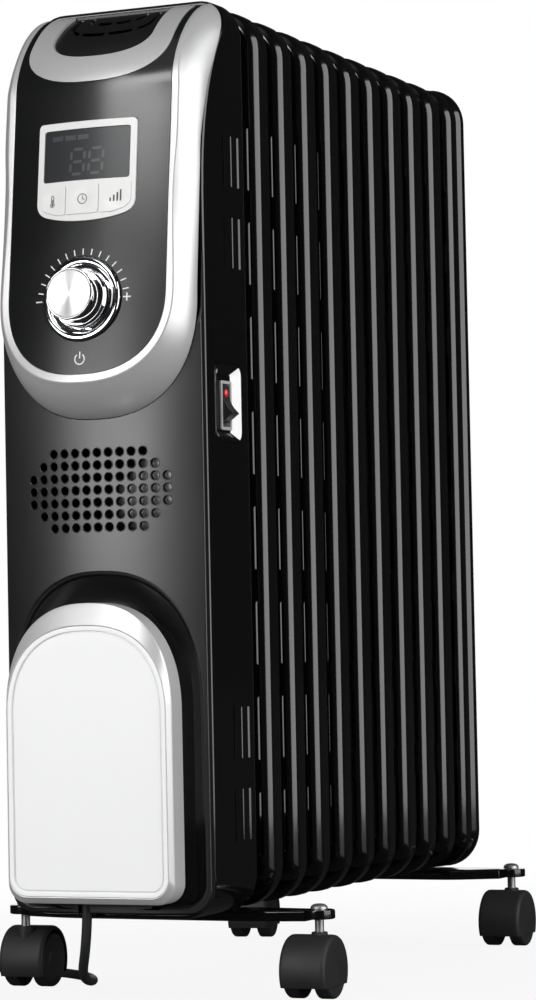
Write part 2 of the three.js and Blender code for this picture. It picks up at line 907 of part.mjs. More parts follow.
function archShape(halfWidth, bottom, shoulder) {
  const high = bodyTop + overrun;
  const right = [];
  const steps = 5;
  for (let step = 0; step < steps; step += 1) {
    const [x, drop] = roundQuarter(halfWidth, shoulder - bottom, step / steps);
    right.push([x, shoulder - drop]);
  }
  const left = right.map(([x, z]) => [-x, z]).reverse();
  return polygon([[halfWidth, high], ...right, [0, bottom], ...left, [-halfWidth, high]]);
}

function archPrism(halfWidth, bottom, shoulder, grow) {
  const shape = archShape(halfWidth + grow, bottom - grow, shoulder);
  return solid(prismY(shape, consoleFootY - overrun, housingRearY, 2));
}

function panelRing(share) {
  const [halfWidth, drop] = roundQuarter(panelHalfWidth, panelCornerZ - consoleFootZ, share);
  return sheetRing(halfWidth, stationAtZ(panelCornerZ - drop), 0, panelWall);
}

function bezelOutline(grow) {
  const shape = new THREE.Shape();
  const half = bezelHalfWidth + grow;
  const top = bezelTop + grow;
  shape.moveTo(-half, bezelSideLow - grow);
  shape.quadraticCurveTo(-half / 2, bezelBottom - grow, 0, bezelBottom - grow);
  shape.quadraticCurveTo(half / 2, bezelBottom - grow, half, bezelSideLow - grow);
  shape.lineTo(half, top - bezelCorner);
  shape.absarc(half - bezelCorner, top - bezelCorner, bezelCorner, 0, Math.PI / 2, false);
  shape.absarc(-half + bezelCorner, top - bezelCorner, bezelCorner, Math.PI / 2, Math.PI, false);
  return shape;
}

const boardFront = -boardDepth;
const boardPosts = [-1, 1].flatMap((side) => [
  [side * (boardHalfWidth - postInset), boardLow + postInset],
  [side * (boardHalfWidth - postInset), boardHigh - postInset],
]);

function consolePanel() {
  const rings = [...cornerShares].reverse().map(panelRing);
  for (const station of crownStations) {
    rings.push(sheetRing(panelHalfWidth, station, 0, panelWall));
  }
  let panel = solid(outward(loft(rings, "strip")));
  for (const [x, height] of boardPosts) {
    const post = new THREE.CylinderGeometry(postRadius, postRadius, boardDepth - panelWall - gap, 8);
    post.rotateX(Math.PI / 2).translate(x, height, (boardFront + gap - panelWall) / 2);
    panel = panel.add(solid(post.applyMatrix4(consoleFrame)));
  }
  const well = latheOut(
    [
      [0, -overrun * 2],
      [(ringRadius + gap) / Math.cos(Math.PI / knobSides), -overrun * 2],
      [(ringRadius + gap) / Math.cos(Math.PI / knobSides), overrun * 2],
      [0, overrun * 2],
    ],
    knobSides,
    knobHeight,
  );
  return panel
    .subtract(solid(well))
    .subtract(solid(prismOut(bezelOutline(gap), -overrun * 3, overrun)))
    .subtract(archPrism(archHalfWidth, archBottomZ, archShoulderZ, 0));
}

// Silver surround: a narrow rim round the panel and a flank that runs out and back to the cover
function surroundSection(inner, outer) {
  const place = consoleStation(inner.station);
  const inward = new THREE.Vector3(0, place.inY, place.inZ);
  const reach = outer.clone().sub(inner.point);
  const lateral = reach.clone().addScaledVector(inward, -reach.dot(inward)).normalize();
  const width = Math.min(rimWidth, reach.dot(lateral) * rimShare);
  const rim = inner.point.clone().addScaledVector(lateral, width);
  const slope = outer.clone().sub(rim);
  const along = slope.clone().normalize();
  const bulge = inward.clone().addScaledVector(along, -inward.dot(along)).normalize().negate();
  const flank = rim.clone().addScaledVector(slope, 0.5).addScaledVector(bulge, slope.length() * bulgeShare);
  const edge = inner.point.clone().addScaledVector(lateral, gap);
  return [
    edge,
    rim,
    flank,
    outer,
    outer.clone().addScaledVector(along, -surroundWall),
    flank.clone().addScaledVector(bulge, -surroundWall),
    rim.clone().addScaledVector(inward, surroundWall),
    edge.clone().addScaledVector(inward, surroundWall),
  ];
}

function surroundRings() {
  const rings = [];
  const foot = panelCornerZ - surroundFootZ;
  for (const share of [...cornerShares].reverse()) {
    const [innerX, innerDrop] = roundQuarter(panelHalfWidth, panelCornerZ - consoleFootZ, share);
    const [outerX, outerDrop] = roundQuarter(surroundHalfWidth, foot, share);
    const station = stationAtZ(panelCornerZ - innerDrop);
    rings.push(
      surroundSection(
        { station, point: consolePoint(innerX, station, 0) },
        new THREE.Vector3(outerX, coverY(outerX), panelCornerZ - outerDrop),
      ),
    );
  }
  for (const [stationShare, halfShare, backShare, dropShare] of surroundEdgeShares) {
    rings.push(
      surroundSection(
        { station: stationShare, point: consolePoint(panelHalfWidth, stationShare, 0) },
        new THREE.Vector3(
          bodyHalfWidth * halfShare,
          consoleRearY * backShare,
          bodyTop - (bodyTop - consoleBendZ) * dropShare,
        ),
      ),
    );
  }
  return rings;
}

function consoleSurround() {
  const right = surroundRings();
  const left = right
    .map((ring) => ring.map((point) => new THREE.Vector3(-point.x, point.y, point.z)))
    .reverse();
  return solid(outward(loft([...left, ...right], "strip")));
}

// Silver arch and the vent inside it
function topArchTrim() {
  const stations = [stationAtZ(archBottomZ - archInnerHalf), ...crownStations];
  return consoleSheet(panelHalfWidth, stations, -trimProud, panelWall)
    .intersect(archPrism(archHalfWidth, archBottomZ, archShoulderZ, -gap))
    .subtract(archPrism(archInnerHalf, archInnerZ, archInnerShoulderZ, 0));
}

function ventSlots(halfWidth, bottom, shoulder) {
  const ribHalf = ventRib / 2;
  const high = bodyTop + overrun;
  let slots = archPrism(halfWidth, bottom, shoulder, ventSlotWidth / 2)
    .subtract(archPrism(halfWidth, bottom, shoulder, -ventSlotWidth / 2))
    .subtract(solid(box(-bodyHalfWidth, bodyHalfWidth, consoleRearY - ventRib * 2, high, 0, high)));
  for (const share of ventRibShares) {
    const x = halfWidth * share;
    slots = slots.subtract(solid(box(x - ribHalf, x + ribHalf, consoleFootY - overrun, high, 0, high)));
  }
  return slots;
}

function topVent() {
  return consoleSheet(archInnerHalf + overrun, crownStations, ventSunk, ventSunk + panelWall)
    .intersect(archPrism(archInnerHalf, archInnerZ, archInnerShoulderZ, -gap))
    .subtract(ventSlots(ventOuterHalf, ventOuterZ, archInnerShoulderZ + ventSlotWidth))
    .subtract(ventSlots(ventInnerHalf, ventInnerZ, archInnerShoulderZ + ventSlotWidth * 2));
}

// Display bezel, window and keys
function frontSlab(outDepth, inDepth) {
  const stations = [stationAtZ(consoleFootZ + bezelSideLow / 2), 1];
  return consoleSheet(bezelHalfWidth + overrun, stations, -outDepth, inDepth);
}

function keyShape(index, shrink) {
  return roundedRect(
    keyEdges[index] + shrink,
    keyEdges[index + 1] - shrink,
    keyStripLow + shrink,
    keyStripHigh - shrink,
    keyCorner - shrink,
  );
}

function windowShape(shrink) {
  return roundedRect(
    -windowHalfWidth + shrink,
    windowHalfWidth - shrink,
    windowLow + shrink,
    windowHigh - shrink,
    keyCorner - shrink,
  );
}

function keyCut(index, shrink) {
  return throughCut(keyShape(index, shrink)).intersect(throughCut(bezelOutline(-keyMargin - shrink)));
}

function throughCut(shape) {
  return solid(prismOut(shape, -overrun * 4, overrun * 2, 1));
}

function displayBezel() {
  let bezel = frontSlab(bezelProud, bezelDepth)
    .intersect(solid(prismOut(bezelOutline(0), -overrun * 4, overrun * 2)))
    .subtract(throughCut(windowShape(0)));
  for (const index of [0, 1, 2]) {
    bezel = bezel.subtract(keyCut(index, gap / 2));
  }
  return bezel;
}

function displayWindow() {
  return frontSlab(windowProud, windowSheet - windowProud).intersect(throughCut(windowShape(gap)));
}

function displayKey(index) {
  return frontSlab(keyProud, keyDepth - keyProud).intersect(keyCut(index, gap / 2 + gap));
}

function controlBoard() {
  const board = new THREE.BoxGeometry(boardHalfWidth * 2, boardHigh - boardLow, boardSheet);
  board.translate(0, (boardHigh + boardLow) / 2, -boardDepth - boardSheet / 2);
  const depth = boardDepth - moduleFront;
  const module = new THREE.BoxGeometry(windowHalfWidth * 2, windowHigh - windowLow, depth + boardSheet / 2);
  module.translate(0, (windowHigh + windowLow) / 2, -moduleFront - (depth + boardSheet / 2) / 2);
  return solid(board.applyMatrix4(consoleFrame)).add(solid(module.applyMatrix4(consoleFrame)));
}

// Thermostat knob, the ring round it and the encoder that its spindle turns in
function knobRing() {
  return latheOut(
    [
      [bushRadius + gap, -ringBack],
      [ringRadius, -ringBack],
      [ringRadius, ringFront - ringStep],
      [ringRadius - ringStep, ringFront],
      [ringRadius - ringBand, ringFront],
      [ringRadius - ringBand - ringStep, ringFront - ringStep],
      [ringWellRadius, ringFront - ringStep],
      [ringWellRadius, -ringFloor],
      [bushRadius + gap, -ringFloor],
      [bushRadius + gap, -ringBack],
    ],
    knobSides,
    knobHeight,
  );
}

function thermostatKnob() {
  return latheOut(
    [
      [0, -spindleEnd],
      [spindleRadius, -spindleEnd],
      [spindleRadius, -knobBack],
      [knobBaseRadius, -knobBack],
      [knobBaseRadius, knobSkirt],
      [knobBaseRadius - knobStep, knobSkirt + knobStep],
      [knobRadius + knobStep / 2, knobFace - knobStep],
      [knobRadius, knobFace],
      [knobRadius - knobStep, knobFace - knobDish],
      [0, knobFace - knobDish],
    ],
    knobSides,
    knobHeight,
  );
}

function knobEncoder() {
  const depth = boardDepth - gap - encoderFront;
  const block = new THREE.BoxGeometry(encoderSize, encoderSize, depth);
  block.translate(0, knobHeight, -encoderFront - depth / 2).applyMatrix4(consoleFrame);
  const bush = latheOut(
    [
      [0, -encoderFront - gap],
      [bushRadius, -encoderFront - gap],
      [bushRadius, -bushFront],
      [0, -bushFront],
    ],
    12,
    knobHeight,
  );
  const bore = latheOut(
    [
      [0, -spindleEnd - gap],
      [(spindleRadius + gap) / Math.cos(Math.PI / knobSides), -spindleEnd - gap],
      [(spindleRadius + gap) / Math.cos(Math.PI / knobSides), overrun],
      [0, overrun],
    ],
    knobSides,
    knobHeight,
  );
  return solid(block).add(solid(bush)).subtract(solid(bore));
}

// Cord cleat: an arched dish on a narrower core
function cleatRing(halfWidth, bottom, top, corner, y) {
  const points = archPoints(halfWidth, bottom, cleatShoulder, top, corner, 7, 3);
  return points.map(([x, z]) => new THREE.Vector3(x, y, z));
}

function cordCleat() {
  const bead = cleatBead;
  const inner = bead + cleatGrooveRun;
  const rings = [
    cleatRing(cleatHalfWidth, cleatBottom, cleatTop, cleatCorner, cleatBackY),
    cleatRing(cleatHalfWidth, cleatBottom, cleatTop, cleatCorner, cleatSideY),
    cleatRing(cleatFaceHalf, cleatFaceBottom, cleatFaceTop, cleatCorner, cleatFaceY),
    cleatRing(
      cleatFaceHalf - bead,
      cleatFaceBottom + bead,
      cleatFaceTop - bead,
      cleatCorner - bead,
      cleatFaceY,
    ),
    cleatRing(
      cleatFaceHalf - inner,
      cleatFaceBottom + inner,
      cleatFaceTop - inner,
      cleatCorner - inner,
      cleatFaceY + cleatGroove,
    ),
  ];
  const core = roundedRect(-coreHalfWidth, coreHalfWidth, coreBottom, coreTop, coreCorner);
  return solid(outward(loft(rings, "fan"))).add(
    solid(prismY(core, cleatBackY - overrun, recessFloorY - gap, 2)),
  );
}

// Power switch: a sloped pocket in the housing's side, the switch in it and its rocker
const pocketFloorX = bodyHalfWidth - pocketDepth;
const switchFaceX = pocketFloorX + gap + switchFrame;
const rockerX = switchFaceX - rockerPivotIn + rockerBack / 2;
const rockerZ = (switchLow + switchHigh) / 2;
const rockerFrontY = switchFrontY + switchRim + rockerSideGap;
const rockerRearY = switchRearY - switchRim - rockerSideGap;

function rectRing(x, fromY, toY, fromZ, toZ, corner) {
  const points = roundedRect(fromY, toY, fromZ, toZ, corner).getPoints(2);
  return mergePoints(points).map((point) => new THREE.Vector3(x, point.x, point.y));
}

function mergePoints(points) {
  return points.filter((point, index) => {
    const next = points[(index + 1) % points.length];
    return point.distanceTo(next) > gap / 10;
  });
}

function switchPocket() {
  const floor = [
    pocketFrontY + pocketSlopeFront,
    pocketRearY - pocketSlopeRear,
    pocketLow + pocketSlopeEnd,
    pocketHigh - pocketSlopeEnd,
  ];
  const rim = gap + pocketRim;
  const reachShare = overrun / pocketDepth;
  const mouth = [
    pocketFrontY + rim - (pocketSlopeFront - rim) * reachShare,
    pocketRearY - rim + (pocketSlopeRear - rim) * reachShare,
    pocketLow + rim - (pocketSlopeEnd - rim) * reachShare,
    pocketHigh - rim + (pocketSlopeEnd - rim) * reachShare,
  ];
  const cavity = loft(
    [
      rectRing(pocketFloorX, ...floor, pocketFloorCorner),
      rectRing(bodyHalfWidth + overrun, ...mouth, pocketCorner),
    ],
    "fan",
  );
  const hole = box(
    pocketFloorX - overrun,
    bodyHalfWidth,
    switchFrontY + switchShoulder - gap,
    switchRearY - switchShoulder + gap,
    switchLow + switchShoulder - gap,
    switchHigh - switchShoulder + gap,
  );
  return solid(prismX(pocketOutline(gap), pocketFloorX - pocketSkin, bodyHalfWidth))
    .subtract(solid(outward(cavity)))
    .subtract(solid(hole));
}

function switchBody() {
  const innerY = [switchFrontY + switchRim, switchRearY - switchRim];
  const innerZ = [switchLow + switchRim, switchHigh - switchRim];
  const backX = pocketFloorX - switchDepth;
  const frame = box(pocketFloorX + gap, switchFaceX, switchFrontY, switchRearY, switchLow, switchHigh);
  const body = box(
    backX,
    pocketFloorX + gap * 2,
    switchFrontY + switchShoulder,
    switchRearY - switchShoulder,
    switchLow + switchShoulder,
    switchHigh - switchShoulder,
  );
  const hollow = box(backX + switchFloor, switchFaceX + overrun, ...innerY, ...innerZ);
  const pin = barY(rockerPinRadius + gap, switchFrontY, switchRearY, rockerX, rockerZ, 8);
  return solid(frame).add(solid(body)).subtract(solid(hollow)).subtract(solid(pin));
}

function lensBar(grow, fromX, toX) {
  const bar = barX(1, fromX, toX, 0, 0, 8);
  bar.scale(1, lensHalfWidth + grow, lensHalfHeight + grow);
  return solid(bar.translate(0, (switchFrontY + switchRearY) / 2, rockerZ + lensRise));
}

function powerRocker() {
  const points = [
    ...rockerFaceShares.map(([reach, height]) => [rockerFace * reach, rockerTop * height]),
    [rockerNose, -rockerNoseDrop],
    [rockerFace * rockerHeelShare, -rockerHeel],
    [rockerBack, -rockerHeel],
    [-rockerBack, -rockerBack],
    [-rockerBack, rockerBack],
    [rockerBack, rockerTop],
  ];
  const outline = polygon(points.map(([x, z]) => [rockerX + x, rockerZ + z]));
  const pinReach = switchRim + rockerSideGap - switchShoulder - gap;
  const pin = barY(
    rockerPinRadius,
    rockerFrontY - pinReach,
    rockerRearY + pinReach,
    rockerX,
    rockerZ,
    8,
  );
  const face = rockerX + rockerFace;
  return solid(prismY(outline, rockerFrontY, rockerRearY))
    .add(solid(pin))
    .subtract(lensBar(gap, face - lensDepth, face + overrun * 2));
}

function rockerLens() {
  const face = rockerX + rockerFace;
  return lensBar(0, face - lensDepth + gap, face + lensProud);
}

// Heating element in the lower collars, and the cut-out beside it
class PointPath extends THREE.Curve {
  constructor(points) {
    super();
    this.points = points;
  }

  getPoint(share, target = new THREE.Vector3()) {
    const place = Math.min(Math.max(share, 0), 1) * (this.points.length - 1);
    const index = Math.min(Math.floor(place), this.points.length - 2);
    return target.lerpVectors(this.points[index], this.points[index + 1], place - index);
  }

  getPointAt(share, target) {
    return this.getPoint(share, target);
  }

  getTangentAt(share, target) {
    return this.getTangent(share, target);
  }
}

function circleShape(radius, sides) {
  const points = [];
  for (let side = 0; side < sides; side += 1) {
    const angle = ((side + 0.5) / sides) * Math.PI * 2;
    points.push([radius * Math.cos(angle), radius * Math.sin(angle)]);
  }
  return polygon(points);
}

function tube(points, radius, sides) {
  return new THREE.ExtrudeGeometry(circleShape(radius, sides), {
    steps: points.length - 1,
    extrudePath: new PointPath(points),
    curveSegments: 1,
    bevelEnabled: false,
  });
}

function arcPoints(radius, steps, place) {
  const points = [];
  for (let step = 0; step <= steps; step += 1) {
    const angle = Math.PI * (1 - step / steps);
    points.push(place(radius * Math.cos(angle), radius * Math.sin(angle)));
  }
  return points;
}

function heatingElement() {
  const backFace = housingRearY - housingWall - gap;
  const plate = barY(elementPlateRadius, backFace - elementPlate, backFace, 0, elementZ, 16);
  const bendY = lastFinY - finPitch;
  const half = elementSpacing / 2;
  const startY = backFace - elementPlate / 2;
  const legs = [
    new THREE.Vector3(-half, startY, elementZ),
    ...arcPoints(half, 4, (x, rise) => new THREE.Vector3(x, bendY + rise, elementZ)),
    new THREE.Vector3(half, startY, elementZ),
  ];
  let element = solid(plate).add(solid(tube(legs, elementRadius, 8)));
  for (const side of [-1, 1]) {
    const tip = backFace - elementPlate - terminalLength;
    element = element.add(solid(barY(terminalRadius, tip, startY, side * half, elementZ, 6)));
  }
  return element;
}

function thermalCutout() {
  const backFace = housingRearY - housingWall - gap;
  const z = elementZ + elementPlateRadius + cutoutRadius * 2;
  return solid(barY(cutoutRadius, backFace - cutoutDepth, backFace, 0, z, 12)).add(
    solid(
      box(
        -cutoutRadius * 1.5,
        cutoutRadius * 1.5,
        backFace - housingWall,
        backFace,
        z - terminalLength / 2,
        z + terminalLength / 2,
      ),
    ),
  );
}

// Caster brackets under the fins, with the bolts that go over the lower collars
const bracketTop = bodyBottom - gap;
const boltSteps = 6;
const boltHalf = (hubRadius + gap) / Math.cos(Math.PI / (boltSteps * 2)) + boltRadius;

function bracket(stemY, boltY) {
  const towards = boltY < stemY ? -1 : 1;
  const far = boltY + towards * boltMargin;
  const near = stemY - towards * bracketNearHalf;
  const outline = (inset) => {
    const flat = bracketFlatHalf - inset / 2;
    const tip = bracketHalfLength - inset;
    const tipHalf = bracketTipHalf - inset;
    return polygon([
      [-tip, stemY - tipHalf],
      [-flat, Math.min(near, far) + inset],
      [flat, Math.min(near, far) + inset],
      [tip, stemY - tipHalf],
      [tip, stemY + tipHalf],
      [flat, Math.max(near, far) - inset],
      [-flat, Math.max(near, far) - inset],
      [-tip, stemY + tipHalf],
    ]);
  };
  const underside = bracketTop - bracketSheet;
  let bar = solid(prismZ(outline(0), underside - bracketLip + bracketSheet, bracketTop)).subtract(
    solid(prismZ(outline(bracketSheet), underside - bracketLip - overrun, underside)),
  );
  for (const side of [-1, 1]) {
    const disc = barZ(discRadius, bracketTop - discThickness, bracketTop, side * stemX, stemY, 16);
    const stemHole = (stemRadius + gap) / Math.cos(Math.PI / stemSides);
    const low = underside - bracketLip - overrun;
    const high = bracketTop + overrun;
    const hole = barZ(stemHole, low, high, side * stemX, stemY, stemSides);
    const boltHole = barZ(boltRadius + gap * 2, underside - overrun, high, side * boltHalf, boltY, 8);
    bar = bar.add(solid(disc)).subtract(solid(hole)).subtract(solid(boltHole));
  }
  return bar;
}

function uBolt(boltY) {
  const low = bracketTop - bracketSheet - gap - nutHeight - boltTail;
  const wire = [
    new THREE.Vector3(-boltHalf, boltY, low),
    ...arcPoints(boltHalf, boltSteps, (x, rise) => new THREE.Vector3(x, boltY, elementZ + rise)),
    new THREE.Vector3(boltHalf, boltY, low),
  ];
  let bolt = solid(tube(wire, boltRadius, 6));
  for (const side of [-1, 1]) {
    const nutTop = bracketTop - bracketSheet - gap;
    bolt = bolt.add(solid(barZ(nutRadius, nutTop - nutHeight, nutTop, side * boltHalf, boltY, 6)));
  }
  return bolt;
}

// Casters: each swivels on its stem and carries two wheels on one axle. In its own frame the axle
// lies along X, and the wheels trail towards +Y or -Y.
function casterStem() {
  const seat = bracketTop + gap;
  const profile = [
    [0, stemFoot],
    [stemRadius, stemFoot],
    [stemRadius, seat],
    ...stemHeadShares.map(([radius, rise]) => [stemHeadRadius * radius, seat + stemHeadHeight * rise]),
    [0, seat + stemHeadHeight],
  ];
  return solid(lathe(profile, stemSides).rotateX(Math.PI / 2));
}

function casterHood(trail) {
  const outer = barX(hoodRadius, -hoodHalfWidth, hoodHalfWidth, trail, wheelRadius, hoodSides);
  const wheelSpace = wheelRadius + hoodClear;
  const innerRight = barX(wheelSpace, webHalf, hoodHalfWidth + overrun, trail, wheelRadius, hoodSides);
  const innerLeft = barX(wheelSpace, -hoodHalfWidth - overrun, -webHalf, trail, wheelRadius, hoodSides);
  const axleHalf = (wheelSpacing + wheelWidth) / 2 - wheelCap - runningGap;
  const reach = hoodRadius + overrun;
  const bore = barZ(
    (stemRadius + gap) / Math.cos(Math.PI / stemSides),
    stemFoot - gap,
    collarTop + overrun,
    0,
    0,
    stemSides,
  );
  return solid(outer)
    .subtract(solid(innerRight))
    .subtract(solid(innerLeft))
    .subtract(solid(box(-reach, reach, trail - reach, trail + reach, -reach, hoodOpenZ)))
    .add(solid(barZ(collarRadius, collarTop - collarHeight, collarTop, 0, 0, 12)))
    .add(solid(barX(axleRadius, -axleHalf, axleHalf, trail, wheelRadius, 12)))
    .subtract(solid(bore));
}

function casterWheel(side, trail) {
  const half = wheelWidth / 2;
  const bore = (axleRadius + runningGap) / Math.cos(Math.PI / 12);
  const profile = [
    [0, half - wheelCap],
    [bore, half - wheelCap],
    [bore, -half],
    [wheelRadius, -half],
    [wheelRadius, half - wheelEdge],
    [wheelRadius - wheelEdge, half],
    [wheelRadius - wheelRim, half],
    [wheelRadius - wheelRim - wheelDish, half - wheelDish],
    [0, half - wheelDish],
  ];
  const wheel = lathe(profile, wheelSides).rotateZ((-side * Math.PI) / 2);
  return solid(wheel.translate((side * wheelSpacing) / 2, trail, wheelRadius));
}

// Mains cord: strain relief, free run, coil with its tie, and the plug
const outletZ = cordExitZ + reliefLength;

function cordGland() {
  return lathe(
    [
      [0, cordExitZ],
      [reliefTipRadius, cordExitZ],
      [reliefRadius, outletZ],
      [reliefCollarRadius, outletZ],
      [reliefCollarRadius, outletZ + reliefCollar],
      [0, outletZ + reliefCollar],
    ],
    12,
  )
    .rotateX(Math.PI / 2)
    .translate(cordExitX, cordExitY, 0);
}

const runPoints = [
  [-15.3, -9.6, 66.9],
  [-15.3, -9.6, 60],
  [-15.8, -9.2, 52.5],
  [-18, -6.2, 44],
  [-22, 0, 36],
  [-27.5, 9, 29],
  [-34, 20, 23],
  [-41, 33, 17.5],
  [-48, 48, 12.5],
  [-55, 65, 8.5],
  [-61.5, 83, 5.6],
  [-69, 101, 4.1],
  [-80, 118, 3.5],
  [-94.5, 132, 3.5],
  [-112, 143, 3.5],
  [-132, 152, 3.5],
  [-155, 160, 3.5],
  [-180, 167, 3.5],
  [-207, 172.5, 3.7],
  [-232, 175.2, 4.1],
  [-248, 175.6, 4.45],
  [-255.2, 175.6, 4.45],
].map(([x, y, z]) => new THREE.Vector3(x, y, z));
const runCurve = new THREE.CatmullRomCurve3(runPoints, false, "centripetal");
const runLine = runCurve.getSpacedPoints(runSteps);

// The coil's inner radius is what gives the whole cord its length.
const coilHalfTurn = coilTurns * Math.PI;
const coilStep = coilPitch / (Math.PI * 2);
const coilLength = cordLength - runCurve.getLength() - gap - cordDiameter - plugTail;
const coilInner = coilLength / (coilHalfTurn * 2) - (coilStep * coilHalfTurn) / 2;
const coilOuter = coilInner + coilStep * coilHalfTurn;
const runEnd = runPoints[runPoints.length - 1];
const coilX = runEnd.x - gap - cordDiameter;
const coilY = runEnd.y + coilOuter;

function coilPoint(angle) {
  const radius = coilInner + coilStep * Math.abs(angle);
  const turn = -Math.PI / 2 - (angle + coilHalfTurn);
  const climbShare = Math.min(Math.max((angle + Math.PI / 2) / Math.PI, 0), 1);
  const riseShare = Math.min(Math.max(1 - (coilHalfTurn - angle) / (Math.PI / 2), 0), 1);
  const ease = riseShare * riseShare * (3 - 2 * riseShare);
  return new THREE.Vector3(
    coilX + radius * Math.cos(turn),
    coilY + radius * Math.sin(turn),
    coilLift + coilPitch * climbShare + (plugRise - coilLift - coilPitch) * ease,
  );
}

function coilPoints() {
  const points = [new THREE.Vector3(coilX + cordDiameter, runEnd.y, coilLift)];
  const steps = Math.round(coilTurns * coilLoopSteps);
  for (let step = 0; step <= steps; step += 1) {
    points.push(coilPoint(-coilHalfTurn + (coilHalfTurn * 2 * step) / steps));
  }
  points.push(points[points.length - 1].clone().add(new THREE.Vector3(0, plugTail, 0)));
  return points;
}

// Least clear distance between stretches of the coil that are not next to each other
function leastGap(points) {
  let least = Infinity;
  const apart = coilLoopSteps / 2;
  for (let first = 0; first < points.length; first += 1) {
    for (let second = first + apart; second < points.length - 1; second += 1) {
      const span = new THREE.Line3(points[second], points[second + 1]);
      const near = span.closestPointToPoint(points[first], true, new THREE.Vector3());
      least = Math.min(least, near.distanceTo(points[first]));
    }
  }
  return least - cordDiameter;
}

function mainsPlug(start) {
  const body = lathe(
    [
      [0, 0],
      [reliefTipRadius, 0],
      [reliefCollarRadius, plugRelief],
      [plugRadius, plugRelief + plugShoulder],
      [plugRadius, plugRelief + plugShoulder + plugBody],
      [plugRadius - plugNose / 2, plugRelief + plugShoulder + plugBody + plugNose],
      [0, plugRelief + plugShoulder + plugBody + plugNose],
    ],
    plugSides,
  );
  const face = plugRelief + plugShoulder + plugBody + plugNose;
  let plug = solid(body);
  for (const side of [-1, 1]) {
    const pin = barY(pinRadius, face - overrun, face + pinLength, (side * pinSpacing) / 2, 0, 8);
    plug = plug.add(solid(pin));
  }
  return plug.translate([start.x, start.y + gap, start.z]);
}

function cordTie() {
  const reach = cordDiameter / 2 + tieSlack;
  const near = coilX + coilInner - reach;
  const far = coilX + coilOuter + reach;
  const high = coilLift + coilPitch + reach;
  const low = coilLift - reach;
  const shape = (grow) => roundedRect(near - grow, far + grow, low - grow, high + grow, tieSlack + grow);
  return solid(prismY(shape(low), coilY - tieHalfWidth, coilY + tieHalfWidth, 1)).subtract(
    solid(prismY(shape(0), coilY - tieHalfWidth - overrun, coilY + tieHalfWidth + overrun, 1)),
  );
}

// The heater
const heater = new THREE.Group();
for (let index = 0; index < finCount - 1; index += 1) {
  const name = `fin_${String(index + 1).padStart(2, "0")}`;
  heater.add(piece(name, finPlate(index), "enamel"));
}
heater.add(piece(`fin_${finCount}`, endPanel(), "enamel"));
heater.add(
  piece("housing_shell", housingShell(), "enamel"),
  piece("front_cover", frontCover(), "coverBlack"),
  piece("console_surround", consoleSurround(), "silver"),
  piece("console_panel", consolePanel(), "panelGrey"),
  piece("top_arch_trim", topArchTrim(), "silver"),
  piece("top_vent_grille", topVent(), "coverBlack"),
  piece("display_bezel", displayBezel(), "pearl"),
  piece("display_window", displayWindow(), "smoke"),
  piece("button_temperature", displayKey(0), "pearl"),
  piece("button_timer", displayKey(1), "pearl"),
  piece("button_power_level", displayKey(2), "pearl"),
  piece("control_board", controlBoard(), "board"),
  piece("knob_ring", knobRing(), "chrome"),
  piece("thermostat_knob", thermostatKnob(), "chrome"),
  piece("knob_encoder", knobEncoder(), "casterBlack"),
  piece("cord_cleat", cordCleat(), "whitePlastic"),
  piece("switch_pocket", switchPocket(), "whitePlastic"),
  piece("switch_body", switchBody(), "silver"),
  piece("power_rocker", powerRocker(), "coverBlack"),
  piece("rocker_lens", rockerLens(), "red"),
  piece("heating_element", heatingElement(), "zinc"),
  piece("thermal_cutout", thermalCutout(), "casterBlack"),
);

const brackets = [
  { end: "front", stemY: frontStemY, boltY: firstFinY - boltOffset },
  { end: "rear", stemY: rearStemY, boltY: lastFinY - boltOffset - rearBoltShift },
];
for (const { end, stemY, boltY } of brackets) {
  heater.add(piece(`${end}_bracket`, bracket(stemY, boltY), "enamel"));
  heater.add(piece(`${end}_u_bolt`, uBolt(boltY), "zinc"));
  for (const [side, sign] of [["left", -1], ["right", 1]]) {
    const corner = `${end}_${side}`;
    const trail = casterTrail * trailShares[corner];
    const stem = piece(`caster_stem_${corner}`, casterStem(), "zinc");
    stem.position.set(sign * stemX, stemY, 0);
    const caster = new THREE.Group();
    caster.position.set(sign * stemX, stemY, 0);
    caster.rotation.z = (swivelDegrees[corner] * Math.PI) / 180;
    caster.add(piece(`caster_hood_${corner}`, casterHood(trail), "casterBlack"));
    caster.add(piece(`wheel_${corner}_inner`, casterWheel(-sign, trail), "casterBlack"));
    caster.add(piece(`wheel_${corner}_outer`, casterWheel(sign, trail), "casterBlack"));
    heater.add(stem, caster);
  }
}

// Without its cord the heater is centred over the origin along Y.
heater.updateMatrixWorld(true);
const reach = new THREE.Box3().setFromObject(heater, true);
const middleY = (reach.min.y + reach.max.y) / 2;

const coilLine = coilPoints();
heater.add(
  piece("cord_gland", cordGland(), "cordBlack"),
  piece("cord_run", tube(runLine, cordDiameter / 2, cordSides), "cordBlack"),
  piece("cord_coil", tube(coilLine, cordDiameter / 2, coilSides), "cordBlack"),
  piece("cord_tie", cordTie(), "cordBlack"),
  piece("plug", mainsPlug(coilLine[coilLine.length - 1]), "cordBlack"),
);
const coilMeasured = new THREE.CurvePath();
coilLine.slice(1).forEach((point, index) => coilMeasured.add(new THREE.LineCurve3(coilLine[index], point)));
console.log("cord length", (runCurve.getLength() + gap + coilMeasured.getLength()).toFixed(2));
console.log("least gap in the coil", leastGap(coilLine).toFixed(3));
console.log("heater moved back by", middleY.toFixed(3));

const part = new THREE.Group();
heater.position.y = -middleY;
part.add(heater);

export default part;
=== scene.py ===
"""Oil filled radiator heater on casters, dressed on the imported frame.

Shapes are drawn in millimetres, with Y counted from the front edge of the radiator's own frame as in the
part's source, and settle() brings each finished piece into the frame's metres.
"""
import math

import bmesh
import bpy
from mathutils import Matrix, Vector


